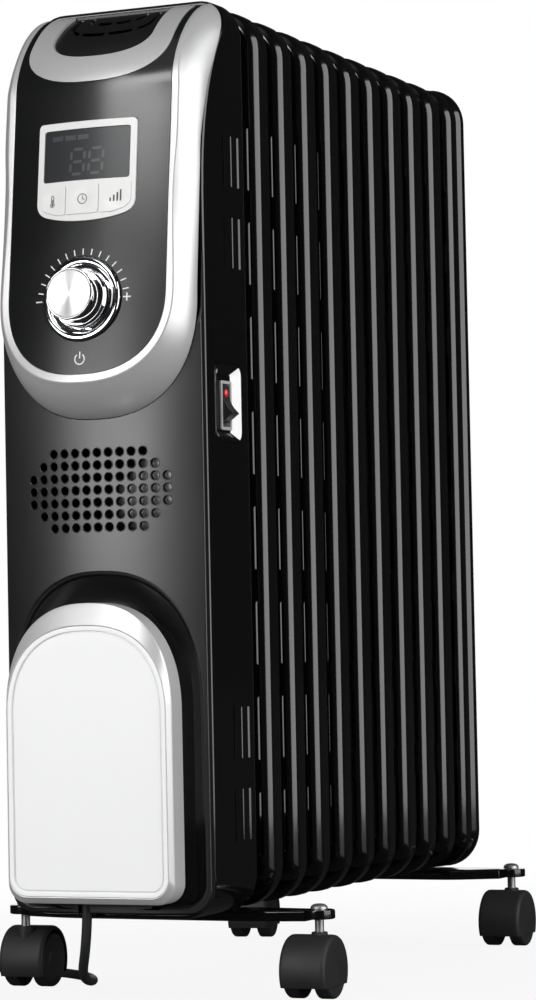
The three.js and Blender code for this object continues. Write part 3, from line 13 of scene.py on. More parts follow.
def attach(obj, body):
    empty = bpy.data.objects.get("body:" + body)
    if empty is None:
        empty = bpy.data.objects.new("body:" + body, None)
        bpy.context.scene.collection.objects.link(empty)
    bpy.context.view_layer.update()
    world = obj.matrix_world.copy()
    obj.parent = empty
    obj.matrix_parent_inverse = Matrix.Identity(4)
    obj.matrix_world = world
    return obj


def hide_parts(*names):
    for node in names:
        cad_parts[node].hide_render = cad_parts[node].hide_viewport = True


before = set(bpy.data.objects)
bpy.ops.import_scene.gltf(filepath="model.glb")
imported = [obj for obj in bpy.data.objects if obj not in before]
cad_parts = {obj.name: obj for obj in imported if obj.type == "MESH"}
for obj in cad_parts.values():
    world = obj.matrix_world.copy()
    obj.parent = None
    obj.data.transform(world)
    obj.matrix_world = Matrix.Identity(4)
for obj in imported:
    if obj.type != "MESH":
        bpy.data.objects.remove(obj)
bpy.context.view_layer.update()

bl_info = {
    "name": "Oil filled radiator heater",
    "version": (1, 0, 0),
    "blender": (4, 5, 0),
    "location": "View3D > Sidebar > Heater",
    "description": "Builds the heater's pieces, finishes and studio on the packed frame",
    "category": "Add Mesh",
}

# Sizes that the part's source has too, in millimetres
MM = 0.001
BACK = 216.346
HALF, BOTTOM, TOP = 75.0, 57.0, 655.5
HOUSING_DEPTH = 57.0
FIN_CORNER = 28.0
FIN_FIRST, FIN_PITCH, FIN_FLANGE, FIN_COUNT = 80.0, 40.0, 20.0, 11
END_FRONT, END_REAR = 456.0, 470.0
CHAMBER_HALF, CHAMBER_LOW, CHAMBER_HIGH, CHAMBER_CORNER = 48.0, 91.0, 618.0, 24.0
HUBS = (107.0, 602.0)
PANEL_HALF, PANEL_CORNER = 56.5, 461.0
FOOT, BEND = Vector((-37.0, 406.0)), Vector((-16.5, 592.0))
LEAN = (BEND - FOOT).normalized()
REAR_Y = 46.0
CROWN = (BEND, BEND + LEAN * 24.0, Vector((REAR_Y - 30.0, TOP - 7.4)), Vector((REAR_Y, TOP - 2.6)))
SAG = 6.2
SURROUND_HALF, SURROUND_FOOT = 70.4, 378.0
COVER_HALF = 72.0
CROWN_BACK = 38.0
# Half width, lowest point and shoulder height of the silver arch and of the vent's opening in it
ARCH, VENT = (52, 597.5, 626), (36.5, 615.5, 632)
SEAM = 0.3
SQUARISH = 2.4
WHITE = (1.0, 1.0, 1.0, 1.0)


# Points
def bezier(points, share):
    """Place and direction on a cubic curve."""
    a, b, c, d = points
    left = 1 - share
    place = a * left**3 + b * (3 * left * left * share) + c * (3 * left * share * share) + d * share**3
    run = (b - a) * (left * left) + (c - b) * (2 * left * share) + (d - c) * (share * share)
    return place, run.normalized()


def console_station(station):
    """Place and inward direction on the console's centre line: 0 is its foot, 1 the bend, 2 the top rear edge."""
    if station <= 1:
        place, run, sag = FOOT.lerp(BEND, station), LEAN, 1.0
    else:
        place, run = bezier(CROWN, station - 1)
        sag = max(2 - station, 0) ** 1.3
    return place, Vector((0, run.y, -run.x)), sag


def console_point(x, station, depth=0.0):
    """A point on the console, or at a depth behind its face."""
    place, inward, sag = console_station(station)
    sunk = SAG * sag * (x / PANEL_HALF) ** 2 + depth
    return Vector((x, place.x, place.y)) + inward * sunk


def station_at(z):
    """The station of a height below the bend."""
    return (z - FOOT.y) / (BEND.y - FOOT.y)


def round_quarter(half, reach, share):
    """A quarter of a squarish round, from the side at share 0 to the end at share 1."""
    angle = share * math.pi / 2
    return half * max(math.cos(angle), 0) ** (2 / SQUARISH), reach * max(math.sin(angle), 0) ** (2 / SQUARISH)


def corner_arc(x, y, radius, quarter, steps):
    """A quarter of a circle. Quarter 0 turns from right to up, and -1 from down to right."""
    angles = ((quarter + step / steps) * math.pi / 2 for step in range(steps + 1))
    return [(x + radius * math.cos(angle), y + radius * math.sin(angle)) for angle in angles]


def flipped(points):
    """The left side that belongs to a right side."""
    return [(-x, y) for x, y in reversed(points)]


def arch(half, low, shoulder, high, corner, steps):
    """An arch on two rounded corners, counter-clockwise from its bottom right."""
    right = corner_arc(half - corner, low + corner, corner, -1, 8)
    for step in range(1, steps):
        x, rise = round_quarter(half, high - shoulder, step / steps)
        right.append((x, shoulder + rise))
    return right + [(0.0, high)] + flipped(right)


def rounded(x0, x1, y0, y1, radius, steps=6):
    """A rounded rectangle, counter-clockwise from its bottom right corner."""
    corners = ((x1, y0, 1, -1), (x1, y1, 1, 1), (x0, y1, -1, 1), (x0, y0, -1, -1))
    points = []
    for index, (x, y, sx, sy) in enumerate(corners):
        points += corner_arc(x - sx * radius, y - sy * radius, radius, index - 1, steps)
    return points


def ring(radius, count, centre=(0.0, 0.0)):
    """A regular outline round a centre."""
    turns = (2 * math.pi / count * step for step in range(count))
    return [(centre[0] + radius * math.cos(turn), centre[1] + radius * math.sin(turn)) for turn in turns]


def along_y(a, b, depth):
    return Vector((a, depth, b))


def along_x(a, b, depth):
    return Vector((depth, a, b))


def along_z(a, b, depth):
    return Vector((a, b, depth))


def as_drawn(x, y, z):
    return Vector((x, y, z))


def along_hub(height):
    """Places what is turned on a collar's axis at this height."""
    return lambda x, y, z: Vector((x, z, height + y))


def on_console(x, height, out):
    """A point on the console's straight part: across, up the slope, and out of it."""
    place = FOOT + LEAN * height
    return Vector((x, place.x - LEAN.y * out, place.y + LEAN.x * out))


def on_fascia(x, height, out):
    """The same, following the panel's sag across."""
    return on_console(x, height, out - SAG * (x / PANEL_HALF) ** 2)


def narrowed(x, y, slope):
    """The housing and the console's surround narrow towards the front."""
    return x * (1 - slope * min(max((HOUSING_DEPTH - y) / HOUSING_DEPTH, 0.0), 1.0))


def cover_y(x):
    """Where the front cover's curved face stands."""
    return -14.0 + 9.0 * (x / HALF) ** 2


# Meshes
SHARP_TURN = math.radians(40)


def loft(rings):
    """A skin through closed rings of points, in order, with its two ends filled."""
    bm = bmesh.new()
    order = bm.verts.layers.int.new("order")
    made = bmesh.ops.create_circle(bm, segments=len(rings[0]), radius=1.0)["verts"]
    for index, vert in enumerate(made):
        vert.co = rings[0][index]
        vert[order] = index
    edges = list(bm.edges)
    bmesh.ops.contextual_create(bm, geom=edges)
    for points in rings[1:]:
        grown = bmesh.ops.extrude_edge_only(bm, edges=edges)["geom"]
        verts = {item for item in grown if isinstance(item, bmesh.types.BMVert)}
        for vert in verts:
            vert.co = points[vert[order]]
        fresh = {item for item in grown if isinstance(item, bmesh.types.BMEdge)}
        edges = [edge for edge in fresh if edge.verts[0] in verts and edge.verts[1] in verts]
    bmesh.ops.contextual_create(bm, geom=edges)
    bmesh.ops.recalc_face_normals(bm, faces=bm.faces[:])
    return bm


def prism(points, place, low, high):
    """A closed outline pushed from one depth to another."""
    return loft([[place(a, b, depth) for a, b in points] for depth in (low, high)])


def shell(columns, rows, outer, inner):
    """A closed sheet between two surfaces that are given as functions of two shares."""
    bm = bmesh.new()
    across, up = bm.verts.layers.float.new("across"), bm.verts.layers.float.new("up")
    bmesh.ops.create_grid(bm, x_segments=columns, y_segments=rows, size=0.5)
    for vert in bm.verts:
        vert[across], vert[up] = vert.co.x + 0.5, vert.co.y + 0.5
    grown = bmesh.ops.extrude_face_region(bm, geom=bm.faces[:], use_keep_orig=True)["geom"]
    fresh = {item for item in grown if isinstance(item, bmesh.types.BMVert)}
    for vert in bm.verts:
        vert.co = (inner if vert in fresh else outer)(vert[across], vert[up])
    bmesh.ops.recalc_face_normals(bm, faces=bm.faces[:])
    return bm


def turned(profile, steps, place):
    """A profile of radius and height spun once round."""
    bm = bmesh.new()
    verts = [bm.verts.new((radius, 0.0, height)) for radius, height in profile]
    edges = [bm.edges.new(pair) for pair in zip(verts, verts[1:])]
    bmesh.ops.spin(
        bm, geom=verts + edges, cent=(0, 0, 0), axis=(0, 0, 1), angle=2 * math.pi, steps=steps, use_merge=True
    )
    bmesh.ops.remove_doubles(bm, verts=bm.verts[:], dist=0.001)
    bmesh.ops.recalc_face_normals(bm, faces=bm.faces[:])
    for vert in bm.verts:
        vert.co = place(vert.co.x, vert.co.y, vert.co.z)
    bmesh.ops.recalc_face_normals(bm, faces=bm.faces[:])
    return bm


def linked(name, data):
    """A new object in the scene."""
    made = bpy.data.objects.new(name, data)
    bpy.context.scene.collection.objects.link(made)
    return made


def stored(bm, name):
    """Moves a finished bmesh to a mesh."""
    mesh = bpy.data.meshes.new(name)
    bm.to_mesh(mesh)
    bm.free()
    return mesh


def taken(holder):
    """The finished mesh of a scratch object, which goes."""
    graph = bpy.context.evaluated_depsgraph_get()
    bm = bmesh.new()
    bm.from_mesh(holder.evaluated_get(graph).to_mesh())
    mesh = holder.data
    bpy.data.objects.remove(holder)
    bpy.data.meshes.remove(mesh)
    return bm


def combine(bm, *others, operation="DIFFERENCE"):
    """Cuts the others from a solid, joins them to it, or keeps what they share."""
    for other in others:
        body, tool = (linked("held", stored(part, "held")) for part in (bm, other))
        step = body.modifiers.new("combine", "BOOLEAN")
        step.operation, step.solver, step.object = operation, "EXACT", tool
        bm = taken(body)
        taken(tool).free()
    return bm


def gathered(*parts):
    """Several meshes as one, side by side."""
    whole = bmesh.new()
    for part in parts:
        mesh = stored(part, "part")
        whole.from_mesh(mesh)
        bpy.data.meshes.remove(mesh)
    return whole


def softened(bm, width):
    """Rounds a mesh's sharp edges."""
    bm.normal_update()
    sharp = [edge for edge in bm.edges if len(edge.link_faces) == 2 and edge.calc_face_angle(0) > SHARP_TURN]
    bmesh.ops.bevel(
        bm, geom=sharp, offset=width, segments=2, profile=0.5, affect="EDGES", material=-1, clamp_overlap=True
    )
    return bm


def drafted(bm):
    """Narrows a mesh towards the front, like the housing's sides."""
    for vert in bm.verts:
        vert.co.x = narrowed(vert.co.x, vert.co.y, 0.04)
    return bm


def claim(piece, body="heater", replaces=()):
    """Says which body a piece rides on and hides the parts that it stands for."""
    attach(piece, body)
    if replaces:
        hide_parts(*replaces)
    return piece


def settle(bm, name, slot, body="heater", replaces=(), look=None, sharp=35.0, bevel=0.0, segments=2):
    """Brings a finished mesh into the frame and makes it a piece of the heater."""
    bmesh.ops.translate(bm, verts=bm.verts[:], vec=(0, -BACK, 0))
    bmesh.ops.scale(bm, verts=bm.verts[:], vec=(MM, MM, MM))
    mesh = stored(bm, name)
    mesh.shade_smooth()
    mesh.set_sharp_from_angle(angle=math.radians(sharp))
    mesh.materials.append(material(look or slot))
    piece = linked(name, mesh)
    if bevel:
        step = piece.modifiers.new("edges", "BEVEL")
        step.width, step.segments = bevel * MM, segments
        step.limit_method, step.angle_limit = "ANGLE", SHARP_TURN
        step.harden_normals = True
    even = piece.modifiers.new("even_shading", "WEIGHTED_NORMAL")
    even.keep_sharp, even.weight = True, 60
    return claim(piece, body, replaces)


# Finishes
def node_group(name, inputs, outputs):
    """A shader group with its named sockets: the group, its nodes and links, and its two end nodes."""
    group = bpy.data.node_groups.new(name, "ShaderNodeTree")
    for way, sockets in (("INPUT", inputs), ("OUTPUT", outputs)):
        for label, default in sockets.items():
            kind = default if isinstance(default, str) else "Vector" if isinstance(default, tuple) else "Float"
            made = group.interface.new_socket(name=label, in_out=way, socket_type="NodeSocket" + kind)
            if kind != default:
                made.default_value = default
    nodes, links = group.nodes, group.links
    return group, nodes, links, nodes.new("NodeGroupInput"), nodes.new("NodeGroupOutput")


def surface_group():
    """Soft patches of two tones and two roughnesses, with a fine grain to raise."""
    group, nodes, links, given, out = node_group(
        "Surface variation",
        {"Tone A": "Color", "Tone B": "Color", "Patch scale": 12.0, "Grain scale": 900.0, "Roughness low": 0.3,
         "Roughness high": 0.4},
        {"Color": "Color", "Roughness": "Float", "Height": "Float"},
    )
    place = nodes.new("ShaderNodeTexCoord")
    patch, grain = nodes.new("ShaderNodeTexNoise"), nodes.new("ShaderNodeTexNoise")
    patch.inputs["Detail"].default_value = 3.0
    grain.inputs["Detail"].default_value = 2.0
    for noise, scale in ((patch, "Patch scale"), (grain, "Grain scale")):
        links.new(place.outputs["Object"], noise.inputs["Vector"])
        links.new(given.outputs[scale], noise.inputs["Scale"])
    tone = nodes.new("ShaderNodeMix")
    tone.data_type = "RGBA"
    links.new(patch.outputs["Fac"], tone.inputs["Factor"])
    links.new(given.outputs["Tone A"], tone.inputs["A"])
    links.new(given.outputs["Tone B"], tone.inputs["B"])
    rough = nodes.new("ShaderNodeMapRange")
    links.new(patch.outputs["Fac"], rough.inputs["Value"])
    rough.inputs["From Min"].default_value = 0.3
    rough.inputs["From Max"].default_value = 0.7
    links.new(given.outputs["Roughness low"], rough.inputs["To Min"])
    links.new(given.outputs["Roughness high"], rough.inputs["To Max"])
    links.new(tone.outputs["Result"], out.inputs["Color"])
    links.new(rough.outputs["Result"], out.inputs["Roughness"])
    links.new(grain.outputs["Fac"], out.inputs["Height"])
    return group


def streak_group():
    """Fine parallel lines, as a drawn, rolled or brushed metal has."""
    group, nodes, links, given, out = node_group(
        "Drawn lines",
        {"Stretch": (1.0, 1.0, 1.0), "Roughness low": 0.2, "Roughness high": 0.35},
        {"Roughness": "Float", "Height": "Float"},
    )
    place, scale = nodes.new("ShaderNodeTexCoord"), nodes.new("ShaderNodeVectorMath")
    scale.operation = "MULTIPLY"
    links.new(place.outputs["Object"], scale.inputs[0])
    links.new(given.outputs["Stretch"], scale.inputs[1])
    noise = nodes.new("ShaderNodeTexNoise")
    noise.inputs["Scale"].default_value = 1.0
    noise.inputs["Detail"].default_value = 3.0
    links.new(scale.outputs["Vector"], noise.inputs["Vector"])
    rough = nodes.new("ShaderNodeMapRange")
    links.new(noise.outputs["Fac"], rough.inputs["Value"])
    links.new(given.outputs["Roughness low"], rough.inputs["To Min"])
    links.new(given.outputs["Roughness high"], rough.inputs["To Max"])
    links.new(rough.outputs["Result"], out.inputs["Roughness"])
    links.new(noise.outputs["Fac"], out.inputs["Height"])
    return group


GROUPS = {}


def shared(name, build):
    """A node group that is built once."""
    if name not in GROUPS:
        GROUPS[name] = build()
    return GROUPS[name]


def tone(colour, share):
    """A colour made darker or lighter, with its alpha."""
    return tuple(min(channel * share, 1.0) for channel in colour[:3]) + (1.0,)


def blank(name):
    """A new material with its nodes, its links and its shader."""
    material = bpy.data.materials.new(name)
    material.use_nodes = True
    nodes, links = material.node_tree.nodes, material.node_tree.links
    return material, nodes, links, nodes["Principled BSDF"]


def raised(nodes, links, shader, height, strength, distance):
    """Raises a shader's surface by a height."""
    bump = nodes.new("ShaderNodeBump")
    bump.inputs["Strength"].default_value = strength
    bump.inputs["Distance"].default_value = distance
    links.new(height, bump.inputs["Height"])
    links.new(bump.outputs["Normal"], shader.inputs["Normal"])


def finish(
    name, colour, rough, spread=0.12, patch=14.0, grain=1500.0, raise_by=0.03, grain_depth=0.00005, metallic=0.0,
    specular=0.5, coat=0.0, coat_rough=0.05,
):
    """A moulded, painted or plated surface with its own soft patches and grain."""
    material, nodes, links, shader = blank(name)
    vary = nodes.new("ShaderNodeGroup")
    vary.node_tree = shared("surface", surface_group)
    values = {
        "Tone A": tone(colour, 1 - spread / 2), "Tone B": tone(colour, 1 + spread / 2), "Patch scale": patch,
        "Grain scale": grain, "Roughness low": rough * (1 - spread), "Roughness high": rough * (1 + spread),
    }
    for key, value in values.items():
        vary.inputs[key].default_value = value
    links.new(vary.outputs["Color"], shader.inputs["Base Color"])
    links.new(vary.outputs["Roughness"], shader.inputs["Roughness"])
    shader.inputs["Metallic"].default_value = metallic
    shader.inputs["Specular IOR Level"].default_value = specular
    shader.inputs["Coat Weight"].default_value = coat
    shader.inputs["Coat Roughness"].default_value = coat_rough
    raised(nodes, links, shader, vary.outputs["Height"], raise_by, grain_depth)
    return material


def drawn_metal(name, colour, low, high, stretch):
    """A bare metal with fine lines that the stretch lays along one axis."""
    material, nodes, links, shader = blank(name)
    lines = nodes.new("ShaderNodeGroup")
    lines.node_tree = shared("streaks", streak_group)
    lines.inputs["Stretch"].default_value = stretch
    lines.inputs["Roughness low"].default_value = low
    lines.inputs["Roughness high"].default_value = high
    links.new(lines.outputs["Roughness"], shader.inputs["Roughness"])
    shader.inputs["Base Color"].default_value = tone(colour, 1)
    shader.inputs["Metallic"].default_value = 1.0
    raised(nodes, links, shader, lines.outputs["Height"], 0.05, 0.00005)
    return material


def spun_aluminium(name, colour):
    """A turned face: its fine rings spread every light into a pair of fans. They follow the piece's own map."""
    material, nodes, links, shader = blank(name)
    mapped = nodes.new("ShaderNodeTexCoord")
    split = nodes.new("ShaderNodeSeparateXYZ")
    links.new(mapped.outputs["UV"], split.inputs["Vector"])
    rings = nodes.new("ShaderNodeTexNoise")
    rings.noise_dimensions = "1D"
    rings.inputs["Scale"].default_value = 160.0
    rings.inputs["Detail"].default_value = 2.0
    links.new(split.outputs["Y"], rings.inputs["W"])
    rough = nodes.new("ShaderNodeMapRange")
    rough.inputs["To Min"].default_value = 0.26
    rough.inputs["To Max"].default_value = 0.34
    links.new(rings.outputs["Fac"], rough.inputs["Value"])
    links.new(rough.outputs["Result"], shader.inputs["Roughness"])
    tangent = nodes.new("ShaderNodeTangent")
    tangent.direction_type = "UV_MAP"
    tangent.uv_map = "UVMap"
    links.new(tangent.outputs["Tangent"], shader.inputs["Tangent"])
    shader.inputs["Base Color"].default_value = tone(colour, 1)
    shader.inputs["Metallic"].default_value = 1.0
    shader.inputs["Anisotropic"].default_value = 0.85
    raised(nodes, links, shader, rings.outputs["Fac"], 0.02, 0.00002)
    return material


def finishes():
    """Every finish on the heater, by the record's slot."""
    colours = bpy.context.scene.heater_colours
    return {
        "enamel_black": finish("Black enamel", colours.enamel, 0.16, patch=9.0, grain=420.0, raise_by=0.05,
                               grain_depth=0.0002, coat=0.9, coat_rough=0.06),
        "cover_black": finish("Cover black", colours.cover, 0.33, patch=8.0, specular=0.95),
        "panel_charcoal": finish("Panel charcoal", colours.panel, 0.21, patch=10.0, specular=0.8),
        "trim_silver": finish("Trim silver", colours.silver, 0.36, spread=0.05, grain=2600.0, raise_by=0.06,
                              metallic=0.55, coat=0.15, coat_rough=0.2),
        "bezel_pearl": finish("Bezel pearl", colours.pearl, 0.36, spread=0.04, grain=2600.0, coat=0.1),
        "display_smoke": finish("Display smoke", colours.smoke, 0.25, spread=0.1, specular=0.5),
        "ghost": finish("Unlit figures", tone(colours.smoke, 1.5), 0.3, spread=0.1, specular=0.75),
        "print_light": finish("Print light", colours.print_light, 0.5, spread=0.04),
        "print_dark": finish("Print dark", colours.print_dark, 0.5, spread=0.04),
        "chrome": finish("Chrome", colours.chrome, 0.06, spread=0.04, metallic=1.0, raise_by=0.01),
        "knob_aluminium": spun_aluminium("Spun aluminium", colours.chrome),
        "black_plastic": finish("Black plastic", colours.plastic, 0.42),
        # The cleat's face is silver like its dish; its white finish is a painted highlight.
        "cleat_white": finish("Cleat face painted highlight", colours.cleat, 0.38, spread=0.03, grain=2600.0),
        "cleat_silver": finish("Cleat silver", colours.silver, 0.36, spread=0.05, grain=2600.0, raise_by=0.06,
                               metallic=0.5),
        # The switch pocket's white is a painted highlight on its rear slope.
        "pocket_white": finish("Pocket painted highlight", colours.cleat, 0.3, spread=0.04),
        "switch_grey": finish("Switch grey", colours.switch, 0.4, spread=0.06),
        "lens_red": finish("Lens red", colours.lens, 0.08, spread=0.1, coat=1.0),
        "zinc": drawn_metal("Zinc", colours.zinc, 0.34, 0.5, (900.0, 900.0, 60.0)),
        "element_steel": drawn_metal("Element steel", colours.element, 0.3, 0.5, (300.0, 20.0, 300.0)),
        "caster_black": finish("Caster black", colours.caster, 0.55, patch=40.0, grain=1800.0, raise_by=0.35,
                               grain_depth=0.00012),
        "cord_black": finish("Cord black", colours.cord, 0.48, patch=60.0, grain=1400.0, raise_by=0.1),
        "pin_brass": drawn_metal("Pin brass", colours.brass, 0.15, 0.3, (600.0, 60.0, 600.0)),
        "board_green": finish("Board green", colours.board, 0.5, patch=60.0),
    }


# Sizes and colours that a user would change
def millimetres(name, description, default, low, high):
    return bpy.props.FloatProperty(
        name=name, description=description, default=default * MM, min=low * MM, max=high * MM, unit="LENGTH",
        precision=4,
    )


def colour(name, description, *default):
    return bpy.props.FloatVectorProperty(
        name=name, description=description, default=default, size=3, min=0.0, max=1.0, subtype="COLOR"
    )


class HeaterSizes(bpy.types.PropertyGroup):
    """Sizes of the details that only the scene has."""

    fin_bend: millimetres("Fin bend", "Radius of the bend between a fin's plate and its flange", 8.0, 2, 9)
    slit_width: millimetres("Slit width", "Width of the slits in the fins", 3.2, 1, 5)
    hole_radius: millimetres("Hole radius", "Radius of the cover's round holes", 2.75, 1, 3)
    cord_length: millimetres("Cord length", "Length of the mains cord from the housing to the plug", 1498.0, 500, 3000)
    cord_width: millimetres("Cord diameter", "Diameter of the mains cord", 6.5, 4, 8)
    tick_width: millimetres("Tick width", "Width of the marks round the knob", 0.7, 0.2, 1)


class HeaterColours(bpy.types.PropertyGroup):
    """Colours of the heater's finishes."""

    enamel: colour("Enamel", "Fins, housing and brackets", 0.0022, 0.0022, 0.0024)
    cover: colour("Cover", "Front cover and vent", 0.004, 0.004, 0.0043)
    panel: colour("Panel", "Control panel", 0.006, 0.0063, 0.0068)
    silver: colour("Silver", "Surround, arch trim and cleat rim", 0.68, 0.68, 0.685)
    pearl: colour("Pearl", "Display bezel and keys", 0.72, 0.72, 0.71)
    smoke: colour("Smoke", "Display window", 0.022, 0.024, 0.026)
    print_light: colour("Light print", "Marks on the panel", 0.8, 0.8, 0.8)
    print_dark: colour("Dark print", "Marks on the keys", 0.05, 0.055, 0.06)
    chrome: colour("Chrome", "Knob and its ring", 0.78, 0.78, 0.79)
    plastic: colour("Black plastic", "Rocker, tie and encoder", 0.014, 0.014, 0.015)
    # This white paints highlights: on the cleat's face and on the switch pocket's rear slope.
    cleat: colour("Cleat", "Cord cleat and switch pocket", 0.88, 0.88, 0.885)
    switch: colour("Switch", "Frame of the rocker switch", 0.34, 0.34, 0.35)
    lens: colour("Lens", "Lamp of the rocker switch", 0.62, 0.008, 0.012)
    zinc: colour("Zinc", "Stems, bolts and screws", 0.62, 0.63, 0.65)
    element: colour("Element", "Heating element", 0.42, 0.41, 0.39)
    caster: colour("Caster", "Caster hoods and wheels", 0.016, 0.016, 0.017)
    cord: colour("Cord", "Mains cord and its plug", 0.03, 0.031, 0.033)
    brass: colour("Pins", "Pins of the plug", 0.62, 0.55, 0.42)
    board: colour("Board", "Control board", 0.02, 0.1, 0.04)


MATERIALS = {}


def material(slot):
    """A slot's finish. All of them are made when the first is asked for."""
    if not MATERIALS:
        MATERIALS.update(finishes())
    return MATERIALS[slot]


def sizes(name):
    """One of the user's sizes, in millimetres."""
    return getattr(bpy.context.scene.heater_sizes, name) / MM


# Stage: camera, lamps, world and floor
CAMERA_PLACE = (0.960872, -2.102276, 0.235625)
CAMERA_YAW, CAMERA_PITCH, CAMERA_ROLL = math.radians(24.18), 0.04188, -0.019946
CAMERA_LENS, CAMERA_SENSOR = 117.36, 36.0


def make_camera():
    ahead = Vector((-math.sin(CAMERA_YAW), math.cos(CAMERA_YAW), 0)) * math.cos(CAMERA_PITCH)
    ahead.z = math.sin(CAMERA_PITCH)
    level = Vector((math.cos(CAMERA_YAW), math.sin(CAMERA_YAW), 0))
    up = level.cross(ahead)
    right = level * math.cos(CAMERA_ROLL) + up * math.sin(CAMERA_ROLL)
    top = up * math.cos(CAMERA_ROLL) - level * math.sin(CAMERA_ROLL)
    data = bpy.data.cameras.new("camera")
    data.sensor_width, data.lens = CAMERA_SENSOR, CAMERA_LENS
    data.clip_end = 50.0
    camera = linked("camera", data)
    camera.matrix_world = Matrix.Translation(CAMERA_PLACE) @ Matrix((right, top, -ahead)).transposed().to_4x4()
    bpy.context.scene.camera = camera


def make_lamp(name, azimuth, elevation, reach, width, height, radiance):
    """A soft box that faces the heater. Azimuth 0 is in front of it and 90 at its right side."""
    side, rise = math.radians(azimuth), math.radians(elevation)
    way = Vector((math.sin(side) * math.cos(rise), -math.cos(side) * math.cos(rise), math.sin(rise)))
    data = bpy.data.lights.new(name, "AREA")
    data.shape, data.size, data.size_y = "RECTANGLE", width, height
    data.energy = radiance * math.pi * width * height
    lamp = linked(name, data)
    lamp.location = way * reach + Vector((0, 0, 0.33))
    lamp.rotation_euler = (-way).to_track_quat("-Z", "Y").to_euler()
    lamp.visible_camera = False


def graded(nodes, links, value, low, high, start, end):
    """A smooth step from one number to another."""
    grade = nodes.new("ShaderNodeMapRange")
    grade.interpolation_type = "SMOOTHSTEP"
    for key, number in {"From Min": low, "From Max": high, "To Min": start, "To Max": end}.items():
        grade.inputs[key].default_value = number
    links.new(value, grade.inputs["Value"])
    return grade.outputs["Result"]


def towards(nodes, links, place, way):
    """How far a place lies along a direction."""
    lean = nodes.new("ShaderNodeVectorMath")
    lean.operation = "DOT_PRODUCT"
    lean.inputs[1].default_value = Vector(way).normalized()
    links.new(place, lean.inputs[0])
    return lean.outputs["Value"]


def combined(nodes, links, operation, a, b):
    """What an operation makes of two numbers."""
    node = nodes.new("ShaderNodeMath")
    node.operation = operation
    links.new(a, node.inputs[0])
    links.new(b, node.inputs[1])
    return node.outputs["Value"]


def mixed(nodes, links, share, a, b):
    """One shader where the share is 0 and another where it is 1."""
    node = nodes.new("ShaderNodeMixShader")
    for source, target in zip((share, a, b), node.inputs):
        links.new(source, target)
    return node.outputs["Shader"]


def seen(nodes, links, path):
    """1 for what the camera sees, also through glass."""
    return combined(nodes, links, "MAXIMUM", path["Is Camera Ray"], path["Is Transmission Ray"])


# Directions of the bright parts of the mirrored surroundings, and the strengths of the fill and of the dark flags
BACKDROP_WAY, CEILING_WAY = (-0.41, 0.91, 0.0), (-0.1, -0.45, 0.89)
FILL, FLAG = 0.62, 0.012
# Name, azimuth and elevation in degrees, then distance, width and height in metres, then radiance
LAMPS = (
    ("lamp_side", 83, 14, 1.8, 1.75, 1.9, 2.5),
    ("lamp_front", -20, 7.5, 2.6, 1.0, 0.74, 6.6),
    ("lamp_high", -10, 31, 2.5, 0.85, 0.7, 7.0),
)


def make_world():
    """A white backdrop behind the heater, with dark flags beside it that keep the black enamel deep."""
    world = bpy.data.worlds.new("studio")
    world.use_nodes = True
    bpy.context.scene.world = world
    nodes, links = world.node_tree.nodes, world.node_tree.links
    path, way = nodes.new("ShaderNodeLightPath").outputs, nodes.new("ShaderNodeTexCoord").outputs["Generated"]
    behind = graded(nodes, links, towards(nodes, links, way, BACKDROP_WAY), 0.95, 0.99, FLAG, 1.0)
    above = graded(nodes, links, towards(nodes, links, way, CEILING_WAY), 0.86, 1.0, FLAG, 0.3)
    plain, mirrored, shown = nodes["Background"], *(nodes.new("ShaderNodeBackground") for _ in range(2))
    for node in (plain, mirrored, shown):
        node.inputs["Color"].default_value = WHITE
    plain.inputs["Strength"].default_value = FILL
    links.new(combined(nodes, links, "MAXIMUM", behind, above), mirrored.inputs["Strength"])
    lit = mixed(nodes, links, path["Is Glossy Ray"], plain.outputs["Background"], mirrored.outputs["Background"])
    whole = mixed(nodes, links, seen(nodes, links, path), lit, shown.outputs["Background"])
    links.new(whole, nodes["World Output"].inputs["Surface"])


def make_floor():
    """A white floor that keeps a soft shadow round the heater and runs into the background further off."""
    bm = bmesh.new()
    bmesh.ops.create_circle(bm, cap_ends=True, segments=96, radius=14.0)
    floor = linked("floor", stored(bm, "floor"))
    look, nodes, links, shader = blank("Floor")
    shader.inputs["Base Color"].default_value = (0.4, 0.4, 0.4, 1.0)
    shader.inputs["Roughness"].default_value = 0.9
    shader.inputs["Specular IOR Level"].default_value = 0.1
    path = nodes.new("ShaderNodeLightPath").outputs
    place, far = nodes.new("ShaderNodeTexCoord"), nodes.new("ShaderNodeVectorMath")
    far.operation = "LENGTH"
    links.new(place.outputs["Object"], far.inputs[0])
    near = graded(nodes, links, far.outputs["Value"], 0.2, 1.0, 0.9, 1.0)
    glow, mirrored = nodes.new("ShaderNodeEmission"), nodes.new("ShaderNodeEmission")
    mirrored.inputs["Strength"].default_value = 0.02
    share = combined(nodes, links, "MULTIPLY", seen(nodes, links, path), near)
    lit = mixed(nodes, links, share, shader.outputs["BSDF"], glow.outputs["Emission"])
    whole = mixed(nodes, links, path["Is Glossy Ray"], lit, mirrored.outputs["Emission"])
    links.new(whole, nodes["Material Output"].inputs["Surface"])
    floor.data.materials.append(look)


def make_stage():
    bpy.context.scene.view_settings.view_transform = "Standard"
    make_camera()
    make_world()
    for lamp in LAMPS:
        make_lamp(*lamp)
    make_floor()


